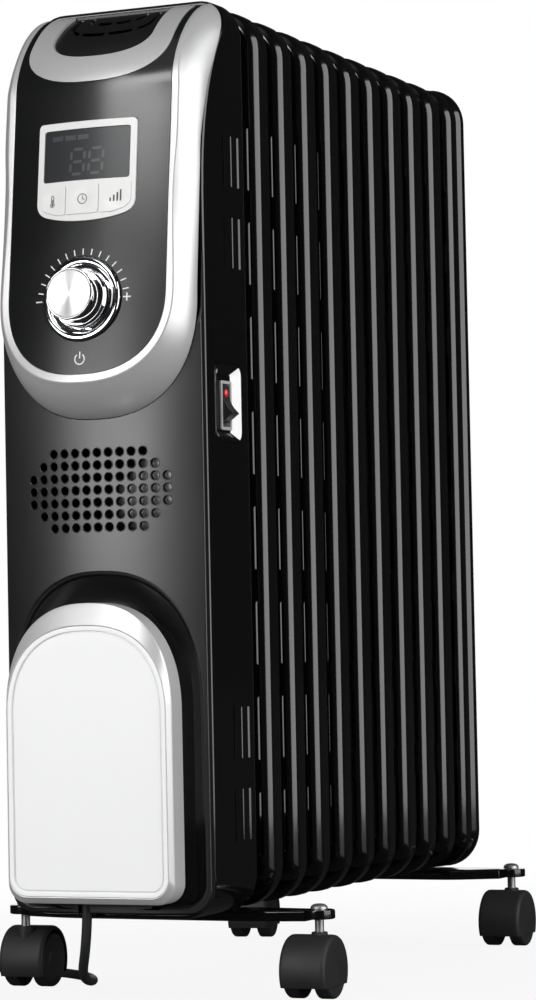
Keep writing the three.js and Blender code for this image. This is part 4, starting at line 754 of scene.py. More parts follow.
# Mains cord: its strain relief, the run to the floor, the coil with its tie, and the plug
RUN = (
    (-0.01530, -0.22595, 0.06690), (-0.01543, -0.22591, 0.05627), (-0.01728, -0.22358, 0.04614),
    (-0.02090, -0.21809, 0.03785), (-0.02535, -0.21090, 0.03144), (-0.03017, -0.20290, 0.02634),
    (-0.03506, -0.19446, 0.02211), (-0.03980, -0.18569, 0.01840), (-0.04426, -0.17662, 0.01508),
    (-0.04846, -0.16729, 0.01220), (-0.05248, -0.15772, 0.00984), (-0.05626, -0.14798, 0.00786),
    (-0.05975, -0.13806, 0.00623), (-0.06347, -0.12817, 0.00504), (-0.06751, -0.11836, 0.00429),
    (-0.07256, -0.10902, 0.00379), (-0.07851, -0.10021, 0.00354), (-0.08555, -0.09225, 0.00346),
    (-0.09347, -0.08516, 0.00350), (-0.10215, -0.07901, 0.00350), (-0.11136, -0.07369, 0.00350),
    (-0.12090, -0.06900, 0.00350), (-0.13070, -0.06487, 0.00350), (-0.14065, -0.06110, 0.00350),
    (-0.15073, -0.05770, 0.00350), (-0.16089, -0.05454, 0.00350), (-0.17112, -0.05162, 0.00349),
    (-0.18142, -0.04900, 0.00351), (-0.19180, -0.04667, 0.00356), (-0.20225, -0.04463, 0.00365),
    (-0.21276, -0.04303, 0.00377), (-0.22334, -0.04184, 0.00394), (-0.23393, -0.04103, 0.00414),
    (-0.24457, -0.04078, 0.00439), (-0.25520, -0.04075, 0.00445),
)
RUN_LENGTH = 361.68
COIL_HALF_TURN = 5.25 * math.pi
COIL_PITCH, COIL_LIFT, PLUG_RISE, PLUG_TAIL = 7.1, 4.45, 18.6, 12.0
CORD_EXIT = (-15.3, -9.6)


def coil_shape():
    """Inner and outer radius of the coil, and its middle, in millimetres."""
    length, width = sizes("cord_length"), sizes("cord_width")
    step = COIL_PITCH / (2 * math.pi)
    wound = length - RUN_LENGTH - SEAM - width - PLUG_TAIL
    inner = wound / (COIL_HALF_TURN * 2) - step * COIL_HALF_TURN / 2
    outer = inner + step * COIL_HALF_TURN
    end = Vector(RUN[-1]) / MM
    return inner, outer, end.x - SEAM - width, end.y + BACK + outer


def coil_points():
    inner, outer, x, y = coil_shape()
    points = [Vector((x + sizes("cord_width"), y - outer, COIL_LIFT))]
    steps = 126
    for step in range(steps + 1):
        angle = COIL_HALF_TURN * (2 * step / steps - 1)
        radius = inner + COIL_PITCH / (2 * math.pi) * abs(angle)
        turn = -math.pi / 2 - (angle + COIL_HALF_TURN)
        climb = min(max((angle + math.pi / 2) / math.pi, 0), 1)
        rise = min(max(1 - (COIL_HALF_TURN - angle) / (math.pi / 2), 0), 1)
        ease = rise * rise * (3 - 2 * rise)
        height = COIL_LIFT + COIL_PITCH * climb + (PLUG_RISE - COIL_LIFT - COIL_PITCH) * ease
        points.append(Vector((x + radius * math.cos(turn), y + radius * math.sin(turn), height)))
    points.append(points[-1] + Vector((0, PLUG_TAIL, 0)))
    return points


def make_cord():
    width = sizes("cord_width")
    inner, outer, x, y = coil_shape()
    wound = coil_points()
    points = [Vector(point) for point in RUN] + [(point - Vector((0, BACK, 0))) * MM for point in wound]
    data = bpy.data.curves.new("mains_cord", "CURVE")
    data.dimensions = "3D"
    data.bevel_depth, data.bevel_resolution, data.resolution_u = width * MM / 2, 5, 3
    data.use_fill_caps = True
    spline = data.splines.new("BEZIER")
    spline.bezier_points.add(len(points) - 1)
    for knot, point in zip(spline.bezier_points, points):
        knot.co = point
        knot.handle_left_type = knot.handle_right_type = "AUTO"
    data.materials.append(material("cord_black"))
    cord = linked("mains_cord", data)
    claim(cord, replaces=("cord_run", "cord_coil"))

    start = wound[-1]
    body = [(0, 0), (3.9, 0), (4.1, 1.2)]
    for rib in range(7):
        low, radius = 2.5 + rib * 3.6, 4.2 + rib * 0.33
        body += [(radius, low), (radius - 0.6, low + 0.5), (radius - 0.55, low + 1.5), (radius + 0.2, low + 2.0)]
    body += [(6.6, 28), (8.2, 29), (17.4, 35), (18.2, 35.8), (18.5, 37), (18.5, 64), (18.0, 66), (16.5, 70)]
    body += [(15.9, 70.3), (12.5, 70.3), (12.1, 70.0), (11.7, 70.3), (0, 70.3)]

    def on_plug(x, y, z):
        return Vector((start.x + x, start.y + SEAM + z, start.z + y))

    plug = turned(body, 48, on_plug)
    pins = []
    for side in (-1, 1):
        profile = [(0, 67), (2.4, 67), (2.4, 87.2), (2.1, 88.3), (1.3, 89), (0, 89)]
        pins.append(turned(profile, 20, lambda x, y, z, side=side: on_plug(x + side * 9.5, y, z)))
    plug_piece = settle(plug, "mains_plug", "cord_black", replaces=("plug",), sharp=50)
    pin_piece = settle(gathered(*pins), "plug_pins", "pin_brass")

    reach = width / 2 + 0.5
    band = []
    for grow in (0.7, 0.0):
        outline = rounded(x + inner - reach - grow, x + outer + reach + grow, 0.7 - grow, 15.3 + grow, 0.8 + grow)
        band.append(prism(outline, along_y, y - 3 - (0 if grow else 2), y + 3 + (0 if grow else 2)))
    tie_piece = settle(combine(*band), "cord_tie_band", "black_plastic", replaces=("cord_tie",), bevel=0.2)

    relief = [(0, 71.2), (3.35, 71.2), (3.35, 67.2), (3.9, 67.2), (4.05, 67.6)]
    for rib in range(6):
        low, radius = 68.8 + rib * 3.7, 4.1 + rib * 0.22
        relief += [(radius, low), (radius - 0.55, low + 0.4), (radius - 0.5, low + 1.5), (radius + 0.1, low + 1.9)]
    relief += [(5.4, 91.4), (5.4, 92.2), (6.3, 92.2), (6.6, 92.6), (6.6, 96.8), (6.2, 97.2), (0, 97.2)]
    place = turned(relief, 32, lambda x, y, z: Vector((CORD_EXIT[0] + x, CORD_EXIT[1] + y, z)))
    settle(place, "strain_relief", "cord_black", replaces=("cord_gland",), sharp=50)

    sizes("cord_length") * MM


# Fins and the rear panel
PLATE_SET, PLATE_FOOT, FOOT_CORNER = 1.5, 76.0, 10.0


def two_corners(half, low, high, low_corner, high_corner):
    """A rounded outline whose lower and upper corners differ."""
    foot, head = (-1, low_corner, low), (1, high_corner, high)
    points = []
    for index, (sx, (sy, radius, edge)) in enumerate(((1, foot), (1, head), (-1, head), (-1, foot))):
        points += corner_arc(sx * (half - radius), edge - sy * radius, radius, index - 1, 10)
    return points


def body_outline(inset):
    return two_corners(HALF - inset, BOTTOM + inset, TOP - inset, FIN_CORNER - inset, FIN_CORNER - inset)


def plate_outline(inset):
    """The pressed face, whose foot stands higher than the flange's."""
    return two_corners(HALF - inset, PLATE_FOOT - 5 + inset, TOP - inset, FOOT_CORNER, FIN_CORNER - inset)


def chamber_outline(inset):
    return two_corners(
        CHAMBER_HALF - inset, CHAMBER_LOW + inset, CHAMBER_HIGH - inset, CHAMBER_CORNER - inset, CHAMBER_CORNER - inset
    )


def rings_at(outline, stations):
    """Rings of one outline at several insets and depths."""
    return [[along_y(x, z, depth) for x, z in outline(inset)] for inset, depth in stations]


def fin_mesh(flange, hub_end, bore):
    """A pressed fin whose plate stands near Y 0: plate, rearward flange, oil chamber and two collars."""
    bend, wall = sizes("fin_bend"), 1.6
    front, back = [], []
    for step in range(9):
        angle = step / 8 * math.pi / 2
        front.append((bend * (1 - math.sin(angle)), PLATE_SET + bend * (1 - math.cos(angle))))
        inner = bend - wall
        back.append((wall + inner * (1 - math.cos(angle)), PLATE_SET + wall + inner * (1 - math.sin(angle))))
    rear = PLATE_SET + wall
    foot = PLATE_SET + bend + 1.5
    rings = rings_at(chamber_outline, [(7, -6), (4, -6), (1.2, -5), (0, -3), (-0.8, -0.2), (-2, PLATE_SET)])
    rings += rings_at(plate_outline, front)
    rings += rings_at(body_outline, [(0, foot), (0, flange - 0.8), (0.12, flange - 0.35), (0.45, flange)])
    rings += rings_at(body_outline, [(1.15, flange), (wall, flange - 0.5), (wall, foot + wall)])
    rings += rings_at(plate_outline, back)
    rings += rings_at(chamber_outline, [(-3, rear), (-1, 4), (0, 5.5), (1.6, 8), (4.5, 9), (7, 9)])
    fin = loft(rings)
    tools = []
    for hub in HUBS:
        profile = [(0, -19.7), (28.2, -19.7), (29, -18.9), (29, -14), (27.2, -10), (27.2, 5), (29, 10)]
        profile += [(29, hub_end - 0.8), (28.2, hub_end), (0, hub_end)]
        tools.append(turned(profile, 40, along_hub(hub)))
    fin = combine(fin, gathered(*tools), operation="UNION")
    width = sizes("slit_width")
    slits = []
    for row in range(8):
        low = 91.0 + row * 63.1
        for side in (-1, 1):
            middle = side * 67.9
            outline = rounded(middle - width / 2, middle + width / 2, low, low + 42, width / 2 - 0.05, 4)
            slits.append(prism(outline, along_y, -1, 7))
    bores = [turned([(0, -30), (15, -30), (15, bore), (0, bore)], 32, along_hub(HUBS[0]))]
    return combine(fin, gathered(*slits), gathered(*bores))


def end_outline(inset):
    return two_corners(HALF + 2.8 - inset, BOTTOM + inset, TOP + 1.0 - inset, FIN_CORNER - inset, FIN_CORNER - inset)


def end_mesh():
    """The rear panel: a shallow pan with a rounded side and a pressed field on its back."""
    outer, inner = [], []
    for step in range(13):
        angle = math.radians(-52 + 142 * step / 12)
        outer.append((8.5 * (1 - math.cos(angle)), END_REAR - 7.5 + 7.5 * math.sin(angle)))
        if angle > -0.6:
            inner.append((1.6 + 6.9 * (1 - math.cos(angle)), END_REAR - 7.5 + 5.6 * math.sin(angle)))
    field = [(14, END_REAR), (15, END_REAR - 0.2), (17, END_REAR - 1.3), (18, END_REAR - 1.5), (24, END_REAR - 1.5)]
    pressed = [(24, END_REAR - 3.2), (18, END_REAR - 3.2), (15, END_REAR - 2)]
    start = outer[0]
    rim = [(4.2, END_FRONT + 1.4), (4.0, END_FRONT + 0.4), (start[0] + 0.1, END_FRONT)]
    return loft(rings_at(end_outline, pressed + inner[::-1] + rim + outer + field))


def make_fins():
    plain = fin_mesh(FIN_FLANGE, FIN_FLANGE, FIN_FLANGE + 5)
    last = fin_mesh(END_FRONT - SEAM - 440, END_REAR - 2.3 - 440, 5.0)
    for index in range(FIN_COUNT):
        if index == FIN_COUNT - 1:
            fin = end_mesh()
        else:
            fin = (last if index == FIN_COUNT - 2 else plain).copy()
            bmesh.ops.translate(fin, verts=fin.verts[:], vec=(0, FIN_FIRST + FIN_PITCH * index, 0))
        node = f"fin_{index + 1:02d}"
        settle(fin, f"radiator_{node}", "enamel_black", replaces=(node,), sharp=40)
    plain.free()
    last.free()


# Housing behind the console: a box open at the front, with side slots and the switch pocket's opening
def housing_front(z):
    """Where the housing's front edge stands at a height. It runs back where the console rolls over."""
    if z <= TOP - 132:
        return 0.0
    edge = (Vector((0, TOP - 132)), Vector((0, TOP - 92)), Vector((8, TOP - 47)), Vector((REAR_Y - 2, TOP - 7)))
    low, high = 0.0, 1.0
    for _ in range(24):
        share = (low + high) / 2
        if bezier(edge, share)[0].y < z:
            low = share
        else:
            high = share
    return min(bezier(edge, high)[0].x + SEAM, REAR_Y + 0.9)


def housing_outline(inset):
    """Counter-clockwise from the middle of the bottom, closely spaced where the front edge curves."""
    half, low, high, corner = HALF - inset, 56 + inset, TOP - inset, 25 - inset
    right = [(0.0, low), (half - corner, low)] + corner_arc(half - corner, low + corner, corner, -1, 8)[1:]
    straight = [share * 439 for share in (0.2, 0.4, 0.6, 0.8, 1.0)] + [439 + 107 * step / 20 for step in range(1, 20)]
    right += [(half, low + corner + (high - low - 2 * corner) * rise / 546) for rise in straight]
    right += corner_arc(half - corner, high - corner, corner, 0, 12)
    return right + [(0.0, high)] + [(-x, z) for x, z in reversed(right[1:])]


def make_housing():
    def station(inset, depth=None, behind=0.0):
        return [
            along_y(x, z, (housing_front(z) + behind) if depth is None else depth) for x, z in housing_outline(inset)
        ]

    rings = [station(5, 58.4), station(2.6, 58.0), station(1.8, 57.0), station(1.6, 56.4)]
    lip = [(1.6, 7.0), (3.0, 5.0), (3.0, 0.6), (2.7, 0.15), (2.2, 0.0), (1.6, 0.1), (1.0, 0.4), (0.5, 0.9)]
    rings += [station(inset, behind=behind) for inset, behind in lip + [(0.2, 1.5), (0.05, 2.1), (0, 2.7)]]
    rings += [station(3 * (1 - math.cos(a)), 57 + 3 * math.sin(a)) for a in (0.0, 0.4, 0.8, 1.2, math.pi / 2)]
    shell_mesh = drafted(loft(rings))
    cuts, leans = [], []
    for share in (0.81166, 0.7296, 0.24018, 0.1589):
        for y in (30, 40, 49.5):
            low = 652.0 * share
            cuts.append(prism(rounded(y - 0.8, y + 0.8, low, low + 34.5, 0.75, 3), along_x, -HALF - 5, HALF + 5))
            for side in (-1, 1):
                lean = [(side * (HALF + 1.0), y), (side * (HALF + 1.0), y + 3.1), (side * (HALF - 1.6), y + 0.5)]
                leans.append(prism(lean, along_z, low + 0.7, low + 33.8))
    cuts.append(prism(rounded(12, 49.4, 362, 413.4, 7, 8), along_x, HALF - 5, HALF + 5))
    bore = turned([(0, 55), (14.7, 55), (14.7, 65), (0, 65)], 32, along_hub(HUBS[0]))
    tub = combine(shell_mesh, gathered(*cuts), gathered(*leans), bore)
    settle(tub, "housing_tub", "enamel_black", replaces=("housing_shell",), bevel=0.4, segments=3)


# Front cover
HOLE_PITCH = 8.05
HOLE_CENTRE = 332.4
HOLE_ROWS = (9, 11, 13, 13, 13, 11, 9)


def cover_outline(inset, high=545.0):
    low, half, corner = 60.0 + inset, COVER_HALF - inset, 15.0 - inset
    points = rounded(-half, half, low, high - inset, corner, 10)
    top = high - inset
    return [(x, z) for x, z in points if z < top - corner - 0.001] + [(half, top), (-half, top)]


def ordered(points):
    """The same outline with its points in turning order round its middle line."""
    right = sorted((point for point in points if point[0] > 0), key=lambda point: (point[1], point[0]))
    left = sorted((point for point in points if point[0] <= 0), key=lambda point: (-point[1], point[0]))
    return right + left


def curved_block(front, back, half, low, high, rows):
    def at(surface):
        return lambda u, v: Vector((half * (2 * u - 1), surface(half * (2 * u - 1)), low + (high - low) * v))

    return shell(40, rows, at(front), at(back))


def recess_arch(grow):
    return arch(66.5 + grow, 66 - grow, 190, 277 + grow, 13 + grow, 20)


def recess_slope(inset):
    """The recess's sides and top, which slope inwards. Its foot stays upright for the cord."""
    return arch(66.5 - inset, 66, 190 - inset / 2, 277 - inset, max(13 - inset, 3), 20)


def surround_foot(grow):
    """The opening that the console's surround stands in."""
    right = []
    for step in range(25):
        x, drop = round_quarter(SURROUND_HALF + grow, PANEL_CORNER - SURROUND_FOOT + grow, step / 24)
        right.append((x, PANEL_CORNER - drop))
    outline = [(SURROUND_HALF + grow, 560.0)] + right + flipped(right[:-1])
    return outline + [(-SURROUND_HALF - grow, 560.0)]


def make_cover():
    outline = ordered(cover_outline(0))
    block = curved_block(cover_y, lambda x: -0.3, 80, 50, 560, 80)
    block = combine(block, prism(outline, along_y, -30, 10), operation="INTERSECT")
    rim = []
    for edge in block.edges:
        if len(edge.link_faces) == 2 and edge.calc_face_angle(0) > math.radians(50):
            if all(vert.co.y < -1 for vert in edge.verts) and abs(edge.verts[0].co.y - edge.verts[1].co.y) < 1.5:
                rim.append(edge)
    bmesh.ops.bevel(
        block, geom=rim, offset=2.4, segments=9, profile=0.5, affect="EDGES", material=-1, clamp_overlap=True
    )
    hollow = curved_block(lambda x: cover_y(x) + 2.5, lambda x: 8, 79, 49, 561, 2)
    hollow = combine(hollow, prism(ordered(cover_outline(2.5, 560)), along_y, -30, 12), operation="INTERSECT")
    dish = loft([
        [Vector((x, cover_y(x) + 1.3, z)) for x, z in recess_arch(2.2)],
        [Vector((x, 1.2, z)) for x, z in recess_arch(2.2)],
    ])
    cover = combine(combine(block, hollow), dish, operation="UNION")
    start, radius = math.radians(12), 4.3
    lip = [(3.4, -4.0)]
    for step in range(10):
        angle = start + (math.radians(82) - start) * step / 9
        lip.append((3.25 - radius * (math.sin(angle) - math.sin(start)), radius * (math.cos(start) - math.cos(angle))))
    mouth = [[Vector((x, cover_y(x) + depth, z)) for x, z in recess_arch(grow)] for grow, depth in lip]
    for inset, y in ((1.0, -9.6), (3.5, -7.4), (7.0, -5.0), (11.0, -3.0), (15.0, -1.7), (19.0, -1.0)):
        mouth.append([along_y(x, z, min(max(y, cover_y(x) + 3.9 + inset / 2), -1.0)) for x, z in recess_slope(inset)])
    cover = combine(cover, loft(mouth), prism(surround_foot(SEAM), along_y, -30, 8))
    # The two horns beside the console run back with its surround.
    horn = [(-30.0, 436.0), (-6.4, 436.0), (-3.2, 447.0), (-2.2, 465.0), (1.0, 497.0), (1.0, 570.0), (-30.0, 570.0)]
    cover = combine(cover, prism(horn, along_x, -90, 90))
    holes, beads = [], []
    circle = [(sizes("hole_radius") + 0.3 + x, y) for x, y in ring(0.38, 6)]
    for row, count in enumerate(HOLE_ROWS):
        z = HOLE_CENTRE + (3 - row) * HOLE_PITCH
        for place in range(count):
            middle = ((place - (count - 1) / 2) * HOLE_PITCH, z)
            holes.append(prism(ring(sizes("hole_radius"), 32, middle), along_y, -30, -2))
            beads.append(turned(circle + circle[:1], 24, lambda x, y, z, m=middle: Vector(
                (m[0] + x, cover_y(m[0] + x) + 0.05 + z, m[1] + y))))
    low = 67.2 + 25 + SEAM
    outlet = prism(rounded(-24.8, -5.8, -17.4, 1.0, 1.5, 4), along_z, low, low + 11)
    socket_bore = prism(ring(7.2, 28, CORD_EXIT), along_z, low - 3, low + 5.3)
    notch = prism(rounded(-19.7, -10.9, -30, -5.2, 3.5, 5), along_z, 50, 69)
    cover = combine(cover, gathered(*holes), notch)
    settle(cover, "cover_sheet", "cover_black", replaces=("front_cover",), sharp=11.6)
    settle(gathered(*beads), "hole_beads", "cover_black", sharp=80)
    settle(combine(softened(outlet, 0.5), socket_bore), "cord_outlet", "cover_black", bevel=0.2)


# Console surround: a narrow bright rim round the panel and a flank that runs out and back to the cover
SURROUND_EDGE = (
    (0.6, 0.96, 0.004, 1.9), (0.8, 0.967, 0.05, 1.5), (1.0, 0.982, 0.24, 0.97), (1.25, 0.986, 0.45, 0.66),
    (1.5, 0.977, 0.7, 0.35), (1.75, 0.915, 0.86, 0.157), (2.0, 0.79, 1.0, 0.034),
)


def between(table, place):
    """Smooth values between a table's rows, whose first number is the place."""
    last = len(table) - 2
    index = max(k for k in range(last + 1) if table[k][0] <= place or k == 0)
    a, b = table[index], table[index + 1]
    before, after = table[max(index - 1, 0)], table[min(index + 2, last + 1)]
    span = b[0] - a[0]
    share = (place - a[0]) / span
    values = []
    for k in range(1, len(a)):
        into = (b[k] - before[k]) / (b[0] - before[0]) * span
        onward = (after[k] - a[k]) / (after[0] - a[0]) * span
        values.append(
            (2 * share**3 - 3 * share**2 + 1) * a[k] + (share**3 - 2 * share**2 + share) * into
            + (3 * share**2 - 2 * share**3) * b[k] + (share**3 - share**2) * onward
        )
    return values


def turn(a, b, c, radius, steps):
    """A rounded corner at b between a and c."""
    near, far = b + (a - b).normalized() * radius, b + (c - b).normalized() * radius
    return [
        near * (1 - t) ** 2 + b * (2 * t * (1 - t)) + far * t**2 for t in (step / steps for step in range(steps + 1))
    ]


def surround_section(point, station, outer):
    inward = console_station(station)[1]
    reach = outer - point
    lateral = (reach - inward * reach.dot(inward)).normalized()
    width = min(5.5, reach.dot(lateral) * 0.4)
    rim, edge = point + lateral * width, point + lateral * SEAM
    slope = outer - rim
    along = slope.normalized()
    bulge = -(inward - along * inward.dot(along)).normalized()
    swell = slope.length * 0.08
    flank = []
    for step in range(1, 10):
        share = step / 10
        flank.append(rim + slope * share + bulge * (swell * 4 * share * (1 - share)))
    section = turn(edge + inward * 2, edge, rim, 0.5, 3)
    section += turn(edge, rim, flank[1], min(1.0, width * 0.3), 4)
    section += flank[1:] + [outer - along * 0.35, outer - bulge * 0.35]
    section += [outer - along * 1.2 - bulge * 1.9, outer - along * 2.5 - bulge * 2.0]
    section += [flank[4] - bulge * 2.5, rim + inward * 2.5 + lateral * -0.4, edge + inward * 2.5]
    return section


def make_surround():
    right = []
    for step in range(25):
        share = 1 - step / 24
        inner_x, inner_drop = round_quarter(PANEL_HALF, PANEL_CORNER - FOOT.y, share)
        outer_x, outer_drop = round_quarter(SURROUND_HALF, PANEL_CORNER - SURROUND_FOOT, share)
        station = station_at(PANEL_CORNER - inner_drop)
        outer = Vector((outer_x, cover_y(outer_x), PANEL_CORNER - outer_drop))
        right.append(surround_section(console_point(inner_x, station), station, outer))
    start = station_at(PANEL_CORNER)
    fall = (TOP - PANEL_CORNER) / (TOP - BEND.y)
    table = ((start, SURROUND_HALF / HALF / 0.98, cover_y(SURROUND_HALF) / REAR_Y, fall),) + SURROUND_EDGE
    for step in range(1, 53):
        station = start + (2 - start) * step / 52
        half, back, drop = between(table, station)
        outer = Vector((narrowed(HALF * half, REAR_Y * back, 0.02), REAR_Y * back, TOP - (TOP - BEND.y) * drop))
        right.append(surround_section(console_point(PANEL_HALF, station), station, outer))
    left = [[Vector((-point.x, point.y, point.z)) for point in section] for section in right[1:]]
    settle(loft(left[::-1] + right), "surround", "trim_silver", replaces=("console_surround",), sharp=30)


# Control panel with its printed marks
def bezel_outline(grow):
    """The display's bezel: a shallow curved foot between two rounded corners, and a straight top."""
    half, side, foot, top = 35.4 + grow, 113.0, 100.2 - grow, 166.2 + grow
    curves = (
        ((0, foot), (half * 0.42, foot), (half * 0.74, foot + 3.2)),
        ((half * 0.74, foot + 3.2), (half * 0.985, foot + 5.2), (half, side)),
    )
    right = []
    for a, b, c in curves:
        for step in range(1 if right else 0, 11):
            share = step / 10
            right.append(tuple(
                p * (1 - share) ** 2 + q * 2 * share * (1 - share) + r * share**2 for p, q, r in zip(a, b, c)
            ))
    right += corner_arc(half - 3, top - 3, 3, 0, 6)
    return right + flipped(right[1:])


def open_arch(half, low, shoulder, grow):
    """An arch turned over: its round end is down and it is open at the top."""
    right = [(half + grow, 660.0)]
    for step in range(24):
        x, drop = round_quarter(half + grow, shoulder - low + grow, step / 24)
        right.append((x, shoulder - drop))
    return right + [(0.0, low - grow)] + flipped(right)


def arch_prism(half, low, shoulder, grow=0.0):
    return prism(open_arch(half, low, shoulder, grow), along_y, -60, CROWN_BACK + grow)


def sheet_between(low, high, half, depth, thick, rows):
    """A sheet on the console between two stations, at a depth behind its face."""
    def at(extra):
        return lambda u, v: console_point(half * (2 * u - 1), low + (high - low) * v, depth + extra)

    return shell(32, rows, at(0.0), at(thick))


def panel_place(u, v, depth):
    """A point on the panel, whose lower end narrows to a round foot."""
    foot = 0.42
    if v < foot:
        half, drop = round_quarter(PANEL_HALF, PANEL_CORNER - FOOT.y, 0.995 * (1 - v / foot))
        station = station_at(PANEL_CORNER - drop)
    else:
        start = station_at(PANEL_CORNER)
        half, station = PANEL_HALF, start + (2 - start) * (v - foot) / (1 - foot)
    return console_point(half * (2 * u - 1), station, depth)


def mark(points):
    """A thin printed mark on the panel."""
    return prism(points, on_fascia, -0.15, 0.1)


def stroke(a, b, width):
    """A straight mark from one point to another."""
    run = Vector(b) - Vector(a)
    side = Vector((-run.y, run.x)).normalized() * width / 2
    return [tuple(Vector(a) - side), tuple(Vector(b) - side), tuple(Vector(b) + side), tuple(Vector(a) + side)]


def arc_band(centre, radius, width, start, end, steps):
    outline = []
    for reach, order in ((radius + width / 2, 1), (radius - width / 2, -1)):
        angles = [math.radians(start + (end - start) * step / steps) for step in range(steps + 1)][::order]
        outline += [(centre[0] + reach * math.cos(a), centre[1] + reach * math.sin(a)) for a in angles]
    return outline


KNOB_HEIGHT = 48.9


def make_panel():
    panel = shell(32, 72, lambda u, v: panel_place(u, v, 0.0), lambda u, v: panel_place(u, v, 2.5))
    well = prism(ring(28.1, 64, (0, KNOB_HEIGHT)), on_console, -12, 6)
    opening = prism(bezel_outline(SEAM), on_console, -12, 6)
    panel = combine(panel, well, opening, arch_prism(*ARCH))
    settle(panel, "panel_sheet", "panel_charcoal", replaces=("console_panel",), sharp=40, bevel=0.25)

    marks, width = [], sizes("tick_width")
    for step in range(15):
        angle = math.radians(170 - 160 * step / 14)
        ends = [(r * math.cos(angle), KNOB_HEIGHT + r * math.sin(angle)) for r in (29.0, 33.0)]
        marks.append(mark(stroke(*ends, width)))
    marks.append(mark(stroke((-34.2, KNOB_HEIGHT), (-29.6, KNOB_HEIGHT), 0.8)))
    marks.append(mark(stroke((28.9, KNOB_HEIGHT), (34.1, KNOB_HEIGHT), 0.8)))
    marks.append(mark(stroke((31.5, KNOB_HEIGHT - 2.6), (31.5, KNOB_HEIGHT + 2.6), 0.8)))
    power = (0.0, 9.6)
    marks.append(mark(arc_band(power, 3.4, 0.75, 125, 415, 28)))
    marks.append(mark(stroke((0, 10.0), (0, 14.4), 0.75)))
    settle(gathered(*marks), "panel_marks", "print_light")


# Silver arch and the vent inside it
def make_crown():
    trim = sheet_between(station_at(ARCH[1] - 6), 2, PANEL_HALF, -0.5, 3.0, 44)
    trim = combine(trim, arch_prism(*ARCH, -SEAM), operation="INTERSECT")
    trim = combine(trim, arch_prism(*VENT))
    settle(trim, "arch_trim", "trim_silver", replaces=("top_arch_trim",), sharp=40, bevel=0.6, segments=3)

    vent = sheet_between(1, 2, 39.5, 1.4, 2.5, 36)
    vent = combine(vent, arch_prism(*VENT, -SEAM), operation="INTERSECT")
    for half, bottom, shoulder in ((29.0, 632.6, 641.0), (19.5, 641.3, 646.4)):
        band = combine(arch_prism(half, bottom, shoulder, 1.2), arch_prism(half, bottom, shoulder, -1.2))
        ribs = [prism(rounded(-80, 80, 33.5, 70, 1, 2), along_z, 560, 670)]
        for share in (-0.68, 0, 0.68):
            ribs.append(prism([(half * share + x, y) for x, y in ((1.5, -70), (1.5, 70), (-1.5, 70), (-1.5, -70))],
                              along_z, 550, 680))
        vent = combine(vent, combine(band, *ribs))
    settle(vent, "vent_grille", "cover_black", replaces=("top_vent_grille",), sharp=40, bevel=0.4)


# Display: bezel, window and the three keys
KEY_EDGES = (-33.8, -13.4, 10.5, 33.8)
KEYS = ("temperature", "timer", "power_level")


def slab(points, low, high):
    """A sheet with this outline that follows the panel's sag."""
    across, up = [point[0] for point in points], [point[1] for point in points]
    x0, x1, h0, h1 = min(across) - 1, max(across) + 1, min(up) - 1, max(up) + 1

    def at(out):
        return lambda u, v: on_fascia(x0 + (x1 - x0) * u, h0 + (h1 - h0) * v, out)

    return combine(shell(28, 1, at(high), at(low)), prism(points, on_console, -20, 8), operation="INTERSECT")


def key_outline(index, shrink):
    left, right = KEY_EDGES[index] + shrink, KEY_EDGES[index + 1] - shrink
    return rounded(left, right, 104.5 + shrink, 124.2 - shrink, 2 - shrink, 5)


def key_middle(index):
    return (KEY_EDGES[index] + KEY_EDGES[index + 1]) / 2, 114.6


def key_prism(index, shrink):
    block = prism(key_outline(index, shrink), on_console, -20, 8)
    return combine(block, prism(bezel_outline(-2.4 - shrink), on_console, -22, 9), operation="INTERSECT")


def dimple(index):
    x0, h0 = key_middle(index)

    def face(x, height):
        away = math.hypot(x - x0, (height - h0) * 1.05)
        share = max(1 - away / 9.0, 0.0)
        return 1.7 - 0.7 * share * share * (3 - 2 * share)

    return face


def icon(index):
    """A thermometer, a clock or four rising bars, small and plain."""
    x0, h0 = key_middle(index)
    if index == 0:
        tube = arc_band((x0, h0 - 2.6), 1.5, 0.5, -235, 55, 18)
        stem = arc_band((x0, h0 + 2.6), 0.85, 0.5, 0, 180, 10)
        return [tube, stem, stroke((x0 - 0.85, h0 - 1.4), (x0 - 0.85, h0 + 2.6), 0.5),
                stroke((x0 + 0.85, h0 - 1.4), (x0 + 0.85, h0 + 2.6), 0.5), ring(0.85, 14, (x0, h0 - 2.6)),
                stroke((x0, h0 - 2.6), (x0, h0 + 1.0), 0.55)]
    if index == 1:
        return [arc_band((x0, h0), 3.2, 0.55, 0, 180, 18), arc_band((x0, h0), 3.2, 0.55, 180, 360, 18),
                stroke((x0, h0 - 0.2), (x0, h0 + 2.2), 0.5), stroke((x0, h0), (x0 + 1.6, h0 - 0.6), 0.5)]
    tops = [(x0 - 3.6 + 2.4 * bar, h0 - 0.6 + 1.7 * bar) for bar in range(4)]
    return [stroke((x, h0 - 3), (x, top), 1.0) for x, top in tops]


def digit(x, height, width, tall, thick, slant):
    """The seven bars of an unlit figure."""
    def lean_over(points):
        return [(px + (py - height) * slant, py) for px, py in points]

    bars, inset, half = [], thick * 0.62, thick / 2
    left, right = x + inset, x + width - inset
    for level in (0, 1, 2):
        y = height + tall * level / 2
        bars.append(lean_over([
            (left, y), (left + half, y - half), (right - half, y - half),
            (right, y), (right - half, y + half), (left + half, y + half),
        ]))
    for px in (x, x + width):
        for level in (0, 1):
            low, high = height + tall * level / 2 + inset, height + tall * (level + 1) / 2 - inset
            bars.append(lean_over([
                (px, low), (px + half, low + half), (px + half, high - half),
                (px, high), (px - half, high - half), (px - half, low + half),
            ]))
    return bars


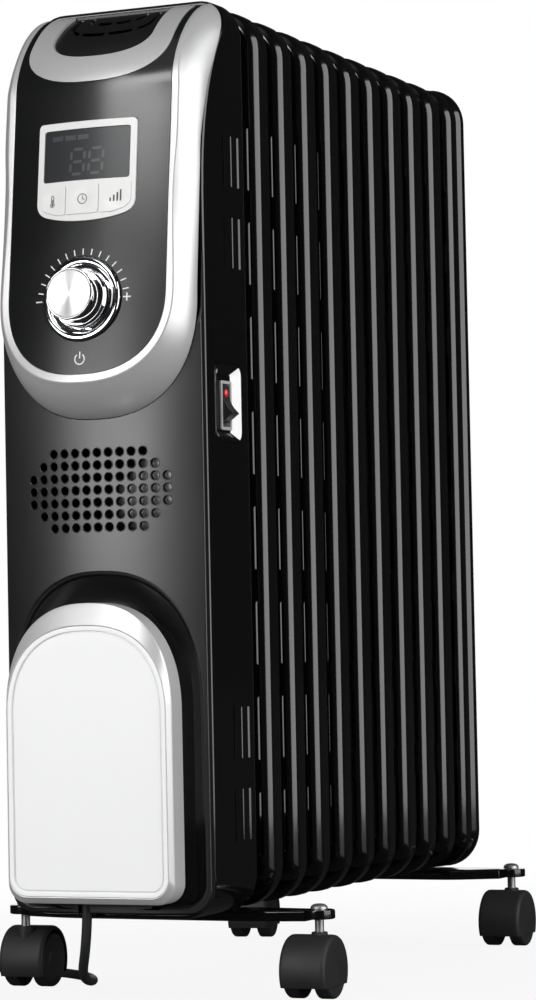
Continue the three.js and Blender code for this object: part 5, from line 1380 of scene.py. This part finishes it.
def make_display():
    window_hole = prism(rounded(-31.2, 31.2, 127, 161.4, 2, 5), on_console, -20, 8)
    key_holes = [key_prism(index, 0.22) for index in range(len(KEYS))]
    bezel = combine(slab(bezel_outline(0), -4, 1.2), window_hole, *key_holes)
    settle(bezel, "bezel", "bezel_pearl", replaces=("display_bezel",), sharp=40, bevel=0.35, segments=3)
    window = slab(rounded(-30.9, 30.9, 127.3, 161.1, 1.7, 5), -1.5, 0.7)
    settle(window, "window", "display_smoke", replaces=("display_window",), sharp=40, bevel=0.25)
    ghost = []
    for x in (-11.4, 1.9):
        ghost += digit(x, 131.4, 9.6, 16.4, 1.9, 0.06)
    ghost += [stroke((-25.2 + 9.4 * bar, 155.8), (-17.2 + 9.4 * bar, 155.8), 3.2) for bar in range(3)]
    settle(gathered(*(prism(points, on_fascia, 0.5, 0.76) for points in ghost)), "unlit_figures", "display_smoke",
           look="ghost")
    for index, name in enumerate(KEYS):
        body = shell(
            30, 24, lambda u, v, index=index: key_surface(index, u, v, dimple(index)),
            lambda u, v, index=index: key_surface(index, u, v, lambda x, height: -1.7),
        )
        key = combine(body, key_prism(index, 0.34), operation="INTERSECT")
        settle(key, f"key_{name}", "bezel_pearl", body=f"key_{name}", replaces=(f"button_{name}",), sharp=40, bevel=0.3)
        face = dimple(index)
        signs = [prism(points, lambda x, h, out, face=face: on_fascia(x, h, face(x, h) + out), -0.2, 0.06)
                 for points in icon(index)]
        settle(gathered(*signs), f"key_{name}_sign", "print_dark", body=f"key_{name}")


def key_surface(index, u, v, face):
    x = KEY_EDGES[index] - 1 + (KEY_EDGES[index + 1] - KEY_EDGES[index] + 2) * u
    height = 103 + 23 * v
    return on_fascia(x, height, face(x, height))


# Thermostat dial: a polished ring, a stepped knob and its spun face
def on_dial(x, y, z):
    return on_console(x, KNOB_HEIGHT + y, z)


def polar_map(bm):
    """Lays the mesh's own map round the axis: across is the turn, up is the distance out."""
    layer = bm.loops.layers.uv.new("UVMap")
    for face in bm.faces:
        middle = face.calc_center_median()
        base = math.atan2(middle.y, middle.x)
        for loop in face.loops:
            place = loop.vert.co
            away = math.hypot(place.x, place.y)
            angle = math.atan2(place.y, place.x) - base if away > 0.01 else 0.0
            angle = (angle + math.pi) % (2 * math.pi) - math.pi
            loop[layer].uv = ((base + angle) / (2 * math.pi) + 0.5, away / 20)


def make_dial():
    ring_profile = [(4.7, -3), (27.8, -3), (27.8, 0.7), (27.5, 1.3), (26.9, 1.9), (26.1, 2.2), (23.9, 2.2), (23.2, 1.9)]
    ring_profile += [(22.6, 1.3), (22.1, 0.9), (20.3, 0.9), (19.9, 0.6), (19.8, 0.1), (19.8, -1.5)]
    ring_profile += [(4.7, -1.5), (4.7, -3)]
    settle(turned(ring_profile, 96, on_dial), "dial_ring", "chrome", replaces=("knob_ring",), sharp=30, bevel=0.1)
    knob = [(0, -9), (3, -9), (3, -1.2), (19, -1.2), (19.2, -1.0), (19.2, 2.3), (19.0, 2.7), (18.2, 3.5), (17.75, 4.1)]
    knob += [(17.45, 5.2), (17.1, 17.4), (16.95, 18.0), (16.5, 18.45), (16.0, 18.5), (15.5, 18.3), (15.3, 18.0)]
    knob += [(15.3, 17.6), (0, 17.6)]
    settle(turned(knob, 96, on_dial), "knob_body", "chrome", body="knob", replaces=("thermostat_knob",), sharp=40)
    face = turned([(0, 17.5), (15.25, 17.5), (15.25, 17.9), (15.1, 18.05), (8, 17.95), (0, 17.9)], 96, as_drawn)
    polar_map(face)
    for vert in face.verts:
        vert.co = on_dial(*vert.co)
    bmesh.ops.recalc_face_normals(face, faces=face.faces[:])
    settle(face, "knob_face", "knob_aluminium", body="knob", sharp=40)


# Cord cleat: an arched dish on a narrower core
def cleat_ring(inset, y, half=57.5, bottom=71.5, top=245.6, corner=13.0):
    points = arch(half - inset, bottom + inset, 186, top - inset, corner - inset, 24)
    return [along_y(x, z, y) for x, z in points]


def make_cleat():
    sides = [(59.1, 68.0, 259.1, -17.6), (59.5, 67.6, 259.5, -18.2), (59.5, 67.6, 259.5, -32.0)]
    sides += [(59.4, 67.75, 259.2, -32.9), (58.9, 68.8, 256.2, -34.0)]
    rings = [cleat_ring(4, -17.6, 59.5, 67.6, 259.5)]
    rings += [cleat_ring(0, y, half, bottom, top) for half, bottom, top, y in sides]
    rings += [cleat_ring(0, -36.7), cleat_ring(0.25, -36.95), cleat_ring(0.6, -36.9), cleat_ring(0.8, -35.5)]
    body = loft(rings)
    core = prism(rounded(-36, 36, 112, 222, 10, 8), along_y, -21, -1.3)
    settle(combine(body, core, operation="UNION"), "cleat_dish", "cleat_silver", replaces=("cord_cleat",), sharp=35)
    # The face is coloured white as a painted highlight; it is the same silver moulding as the dish.
    face = [(0.85, -35.3), (0.85, -36.6), (1.1, -36.93), (1.5, -37.0), (3.3, -37.0), (3.75, -36.85), (3.95, -36.5)]
    face += [(4.0, -35.7), (4.1, -35.45), (4.9, -35.45), (5.1, -35.75), (5.5, -35.85), (12, -35.95)]
    settle(loft([cleat_ring(inset, y) for inset, y in face]), "cleat_face", "cleat_white", sharp=35)


# Power switch: a sloped pocket in the housing's side, the switch's frame, its rocker and its lamp
def lens_oval(x, across_half, tall_half):
    """An oval round the middle of the switch's lamp."""
    return [along_x(31.85 + across_half * a, 394.2 + tall_half * b, x) for a, b in ring(1.0, 24)]


def make_switch():
    pocket = prism(rounded(12.3, 49.1, 362.3, 413.1, 6.7, 8), along_x, 70, 75)
    slopes = []
    for share in (0.0, 0.12, 0.5, 1.0, 1.5):
        spread = 5.6 * share
        outline = rounded(21 - 8.0 * share, 39.8 + 8.6 * share, 368.6 - spread, 406.8 + spread, 2 + 4.4 * share, 8)
        slopes.append([along_x(y, z, 71.5 + 3.5 * share) for y, z in outline])
    hole = prism(rounded(25.2, 38.5, 370.8, 401.6, 0.8, 3), along_x, 66, 76)
    dish = drafted(combine(pocket, loft(slopes), hole))
    dish.normal_update()
    # Faces are coloured by the way they turn: the rear slope, which faces the front lamp, gets white as a painted
    # highlight; the other faces stay black enamel.
    for face in dish.faces:  # only the rear slope is white
        way = face.normal
        face.material_index = int(way.x > 0.3 and way.y < -0.15 and abs(way.z) < -way.y * 1.05)
    piece = settle(dish, "pocket", "pocket_white", replaces=("switch_pocket",), look="enamel_black", bevel=0.25)
    piece.data.materials.append(material("pocket_white"))
    frame_part = prism(rounded(24.6, 39.1, 370.2, 402.2, 1.2, 4), along_x, 71.8, 73)
    body = prism(rounded(25.5, 38.2, 371.1, 401.3, 0.8, 3), along_x, 54.5, 72.2)
    hollow = prism(rounded(26.6, 37.1, 372.2, 400.2, 0.6, 3), along_x, 56.5, 78)
    part = combine(combine(frame_part, body, operation="UNION"), hollow)
    settle(drafted(part), "switch_frame", "switch_grey", replaces=("switch_body",), bevel=0.3)
    outline = [(9.4, 12.6), (9.31, 7.56), (10.06, 3.15), (12.5, -1.26), (16.5, -5.4), (8.74, -11), (2.5, -11),
               (-2.5, -2.5), (-2.5, 2.5), (2.5, 12.6)]
    points = [Vector((63.25 + x, 386.2 + z)) for x, z in outline]
    smooth = []
    for index, point in enumerate(points):
        before, after = points[index - 1], points[(index + 1) % len(points)]
        size = 2.0 if 1 <= index <= 3 else 0.5
        smooth += turn(before, point, after, size, 4)
    rocker = loft([[Vector((point.x, y, point.y)) for point in smooth] for y in (27.2, 36.5)])
    rocker = drafted(combine(rocker, loft([lens_oval(x, 2.55, 3.15) for x in (68.0, 80.0)])))
    settle(rocker, "rocker_body", "black_plastic", body="rocker", replaces=("power_rocker",), bevel=0.3)
    dome = [(1.0, 68.2), (1.0, 72.4), (0.93, 72.85), (0.78, 73.25), (0.55, 73.6), (0.3, 73.82), (0.1, 73.9)]
    lens = loft([lens_oval(x, 2.4 * size, 3.0 * size) for size, x in dome])
    settle(drafted(lens), "rocker_lamp", "lens_red", body="rocker", replaces=("rocker_lens",), sharp=50)


# Underframe: brackets, U-bolts and the stems of the casters
ENDS = (("front", 80.0, 70.8), ("rear", 447.0, 427.8))
STEM_X = 109.0


def bracket_outline(stem_y, bolt_y, inset):
    towards = -1 if bolt_y < stem_y else 1
    far, near = bolt_y + towards * 6.6, stem_y - towards * 10.5
    low, high = min(near, far) + inset, max(near, far) - inset
    flat, tip, half = 70 - inset / 2, 103 - inset, 8 - inset
    corners = [(tip, stem_y - half), (tip, stem_y + half), (flat, high), (-flat, high), (-tip, stem_y + half),
               (-tip, stem_y - half), (-flat, low), (flat, low)]
    corners = [Vector(corner) for corner in corners]
    smooth = []
    for index, corner in enumerate(corners):
        size = 1.5 if index in (0, 1, 4, 5) else 10
        smooth += turn(corners[index - 1], corner, corners[(index + 1) % 8], size, 5)
    return [(point.x, point.y) for point in smooth]


def make_bracket(end, stem_y, bolt_y):
    stations = [(2.4, 49.7), (2.1, 49.4), (1.2, 49.3), (0.3, 49.45), (0, 49.8), (0, 54.6), (0.3, 55.7), (1.0, 56.4)]
    stations += [(2.1, 56.7), (6, 56.7)]
    under = [(6, 54.3), (3.4, 54.3), (2.6, 53.9), (2.4, 53.0)]
    rows = under + stations
    bar = loft([[Vector((x, y, z)) for x, y in bracket_outline(stem_y, bolt_y, inset)] for inset, z in rows])
    discs, holes = [], []
    for side in (-1, 1):
        profile = [(0, 50.7), (10.0, 50.7), (10.5, 51.2), (10.5, 55.7), (10.2, 56.4), (9.5, 56.7), (0, 56.7)]
        discs.append(turned(profile, 48, lambda x, y, z, side=side: Vector((side * STEM_X + x, stem_y + y, z))))
        holes.append(prism(ring(3.3, 24, (side * STEM_X, stem_y)), along_z, 40, 70))
        holes.append(prism(ring(2.6, 20, (side * 32.3, bolt_y)), along_z, 40, 70))
    bar = combine(combine(bar, gathered(*discs), operation="UNION"), gathered(*holes))
    settle(bar, f"bracket_{end}", "enamel_black", replaces=(f"{end}_bracket",), sharp=40)


def make_u_bolt(end, bolt_y):
    data = bpy.data.curves.new(f"u_bolt_{end}", "CURVE")
    data.dimensions, data.bevel_depth, data.bevel_resolution, data.use_fill_caps = "3D", 2 * MM, 4, True
    half, low = 32.3, 49.0
    points = [(-half, low), (-half, 70.0)]
    points += [(-half * math.cos(a), HUBS[0] + half * math.sin(a)) for a in (math.pi * k / 24 for k in range(25))]
    points += [(half, 70.0), (half, low)]
    spline = data.splines.new("POLY")
    spline.points.add(len(points) - 1)
    for knot, (x, z) in zip(spline.points, points):
        knot.co = (x * MM, (bolt_y - BACK) * MM, z * MM, 1)
    data.materials.append(material("zinc"))
    bolt = linked(f"u_bolt_{end}", data)
    claim(bolt, replaces=(f"{end}_u_bolt",))
    nuts = []
    for side in (-1, 1):
        nuts.append(softened(prism(ring(4, 6, (side * half, bolt_y)), along_z, 51, 54), 0.4))
    settle(gathered(*nuts), f"u_bolt_nuts_{end}", "zinc", sharp=30)


def make_stem(corner, x, y):
    profile = [(0, 22), (2.6, 22), (3, 22.4), (3, 57), (5.75, 57), (5.75, 58.0), (5.5, 58.6), (4.9, 59.4), (4.0, 60.0)]
    profile += [(2.8, 60.4), (1.4, 60.58), (0, 60.6)]
    stem = turned(profile, 40, lambda px, py, z: Vector((x + px, y + py, z)))
    settle(stem, f"stem_{corner}", "zinc", replaces=(f"caster_stem_{corner}",), sharp=45)


CORNERS = {
    "front_left": (-STEM_X, 80.0, 4.0, 1), "front_right": (STEM_X, 80.0, 2.0, -1),
    "rear_left": (-STEM_X, 447.0, 10.0, 1), "rear_right": (STEM_X, 447.0, 2.0, -1),
}


def make_underframe():
    for end, stem_y, bolt_y in ENDS:
        make_bracket(end, stem_y, bolt_y)
        make_u_bolt(end, bolt_y)
    for corner, (x, y, _, _) in CORNERS.items():
        make_stem(corner, x, y)


# Casters: a hood over two wheels on one axle
WHEEL_RADIUS = 18.3


def hood_mesh(trail):
    def across(x, y, z):
        return Vector((z, trail + x, WHEEL_RADIUS + y))

    outer = turned([(0, -16), (20.8, -16), (22.3, -15.4), (23.1, -14.2), (23.3, -12.6), (23.3, 12.6), (23.1, 14.2),
                    (22.3, 15.4), (20.8, 16), (0, 16)], 56, across)
    tools = []
    for side in (-1, 1):
        tools.append(turned([(0, side * 4.9), (20.5, side * 4.9), (20.5, side * 20), (0, side * 20)], 56, across))
    tools.append(prism(rounded(-40, 40, trail - 40, trail + 40, 1, 1), along_z, -30, 8.5))
    collar = turned([(0, 33), (5.4, 33), (5.4, 41.4), (5.1, 42), (4.6, 42.2), (0, 42.2)], 32, as_drawn)
    axle = turned([(0, -13.15), (2.7, -13.15), (3, -12.8), (3, 12.8), (2.7, 13.15), (0, 13.15)], 24, across)
    hood = combine(combine(outer, *tools), collar, axle, operation="UNION")
    return combine(hood, prism(ring(3.3, 24), along_z, 21.7, 50))


def wheel_mesh(side, trail):
    """A wheel with a tread, a rounded shoulder and a dished cap with a shallow ring."""
    profile = [(0, 2.8), (3.4, 2.8), (3.4, -5), (17.4, -5), (18.1, -4.6), (18.3, -4.0), (18.3, 3.2), (18.05, 4.1)]
    profile += [(17.4, 4.8), (16.6, 5.0), (15.0, 5.0), (14.6, 4.8), (14.2, 4.15), (13.6, 4.0), (7.4, 4.0), (7.1, 4.3)]
    profile += [(6.4, 4.5), (0, 4.6)]
    return turned(profile, 64, lambda x, y, z: Vector((side * (10.75 + z), trail + x, WHEEL_RADIUS + y)))


def make_casters():
    for corner, (x, y, turned_by, way) in CORNERS.items():
        place = Matrix.Translation((x, y, 0)) @ Matrix.Rotation(math.radians(turned_by), 4, "Z")
        hood = hood_mesh(12.0 * way)
        bmesh.ops.transform(hood, matrix=place, verts=hood.verts[:])
        settle(hood, f"hood_{corner}", "caster_black", body=f"caster_{corner}", replaces=(f"caster_hood_{corner}",),
               bevel=0.4)
        sign = 1 if x > 0 else -1
        for name, side in (("inner", -sign), ("outer", sign)):
            wheel = wheel_mesh(side, 12.0 * way)
            bmesh.ops.transform(wheel, matrix=place, verts=wheel.verts[:])
            node = f"wheel_{corner}_{name}"
            settle(wheel, f"caster_{node}", "caster_black", body=node, replaces=(node,), sharp=30)


# Parts inside, which keep the shapes of the part's source
INSIDE = {
    "heating_element": "element_steel", "thermal_cutout": "black_plastic", "control_board": "board_green",
    "knob_encoder": "black_plastic",
}


def make_inside():
    for node, slot in INSIDE.items():
        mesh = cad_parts[node].data
        mesh.materials.clear()
        mesh.materials.append(material(slot))


# Operators
class HEATER_OT_stage(bpy.types.Operator):
    """Adds the camera, the studio light and the floor."""

    bl_idname = "heater.stage"
    bl_label = "Stage"

    def execute(self, context):
        make_stage()
        return {"FINISHED"}


class HEATER_OT_cord(bpy.types.Operator):
    """Adds the mains cord with its strain relief, coil, tie and plug."""

    bl_idname = "heater.cord"
    bl_label = "Mains cord"

    def execute(self, context):
        make_cord()
        return {"FINISHED"}


class HEATER_OT_fins(bpy.types.Operator):
    """Adds the ten fins and the rear panel."""

    bl_idname = "heater.fins"
    bl_label = "Fins"

    def execute(self, context):
        make_fins()
        return {"FINISHED"}


class HEATER_OT_housing(bpy.types.Operator):
    """Adds the housing behind the console."""

    bl_idname = "heater.housing"
    bl_label = "Housing"

    def execute(self, context):
        make_housing()
        return {"FINISHED"}


class HEATER_OT_cover(bpy.types.Operator):
    """Adds the front cover with its holes and recess."""

    bl_idname = "heater.cover"
    bl_label = "Front cover"

    def execute(self, context):
        make_cover()
        return {"FINISHED"}


class HEATER_OT_surround(bpy.types.Operator):
    """Adds the silver surround of the console."""

    bl_idname = "heater.surround"
    bl_label = "Surround"

    def execute(self, context):
        make_surround()
        return {"FINISHED"}


class HEATER_OT_panel(bpy.types.Operator):
    """Adds the control panel and its printed marks."""

    bl_idname = "heater.panel"
    bl_label = "Control panel"

    def execute(self, context):
        make_panel()
        return {"FINISHED"}


class HEATER_OT_crown(bpy.types.Operator):
    """Adds the silver arch and the vent at the top."""

    bl_idname = "heater.crown"
    bl_label = "Arch and vent"

    def execute(self, context):
        make_crown()
        return {"FINISHED"}


class HEATER_OT_display(bpy.types.Operator):
    """Adds the display's bezel, its window and the three keys."""

    bl_idname = "heater.display"
    bl_label = "Display and keys"

    def execute(self, context):
        make_display()
        return {"FINISHED"}


class HEATER_OT_dial(bpy.types.Operator):
    """Adds the thermostat knob and its ring."""

    bl_idname = "heater.dial"
    bl_label = "Thermostat dial"

    def execute(self, context):
        make_dial()
        return {"FINISHED"}


class HEATER_OT_cleat(bpy.types.Operator):
    """Adds the cord cleat."""

    bl_idname = "heater.cleat"
    bl_label = "Cord cleat"

    def execute(self, context):
        make_cleat()
        return {"FINISHED"}


class HEATER_OT_switch(bpy.types.Operator):
    """Adds the power switch in its pocket."""

    bl_idname = "heater.switch"
    bl_label = "Power switch"

    def execute(self, context):
        make_switch()
        return {"FINISHED"}


class HEATER_OT_underframe(bpy.types.Operator):
    """Adds the brackets, U-bolts and stems."""

    bl_idname = "heater.underframe"
    bl_label = "Underframe"

    def execute(self, context):
        make_underframe()
        return {"FINISHED"}


class HEATER_OT_casters(bpy.types.Operator):
    """Adds the four twin-wheel casters."""

    bl_idname = "heater.casters"
    bl_label = "Casters"

    def execute(self, context):
        make_casters()
        return {"FINISHED"}


class HEATER_OT_inside(bpy.types.Operator):
    """Gives the parts inside their finishes."""

    bl_idname = "heater.inside"
    bl_label = "Parts inside"

    def execute(self, context):
        make_inside()
        return {"FINISHED"}


STEPS = (
    HEATER_OT_stage, HEATER_OT_cord, HEATER_OT_fins, HEATER_OT_housing, HEATER_OT_cover, HEATER_OT_surround,
    HEATER_OT_panel, HEATER_OT_crown, HEATER_OT_display, HEATER_OT_dial, HEATER_OT_cleat, HEATER_OT_switch,
    HEATER_OT_underframe, HEATER_OT_casters, HEATER_OT_inside,
)


class HEATER_PT_build(bpy.types.Panel):
    """Lists the steps that build the heater, with its sizes and colours."""

    bl_idname = "HEATER_PT_build"
    bl_label = "Heater"
    bl_space_type = "VIEW_3D"
    bl_region_type = "UI"
    bl_category = "Heater"

    def draw(self, context):
        for step in STEPS:
            self.layout.operator(step.bl_idname)
        for group in (context.scene.heater_sizes, context.scene.heater_colours):
            box = self.layout.box()
            for name in group.__annotations__:
                box.prop(group, name)


CLASSES = (HeaterSizes, HeaterColours) + STEPS + (HEATER_PT_build,)


def register():
    for entry in CLASSES:
        bpy.utils.register_class(entry)
    bpy.types.Scene.heater_sizes = bpy.props.PointerProperty(type=HeaterSizes)
    bpy.types.Scene.heater_colours = bpy.props.PointerProperty(type=HeaterColours)


def unregister():
    del bpy.types.Scene.heater_sizes
    del bpy.types.Scene.heater_colours
    for entry in reversed(CLASSES):
        bpy.utils.unregister_class(entry)


def main():
    register()
    for step in STEPS:
        group, name = step.bl_idname.split(".")
        getattr(getattr(bpy.ops, group), name)()


if __name__ == "__main__":
    main()
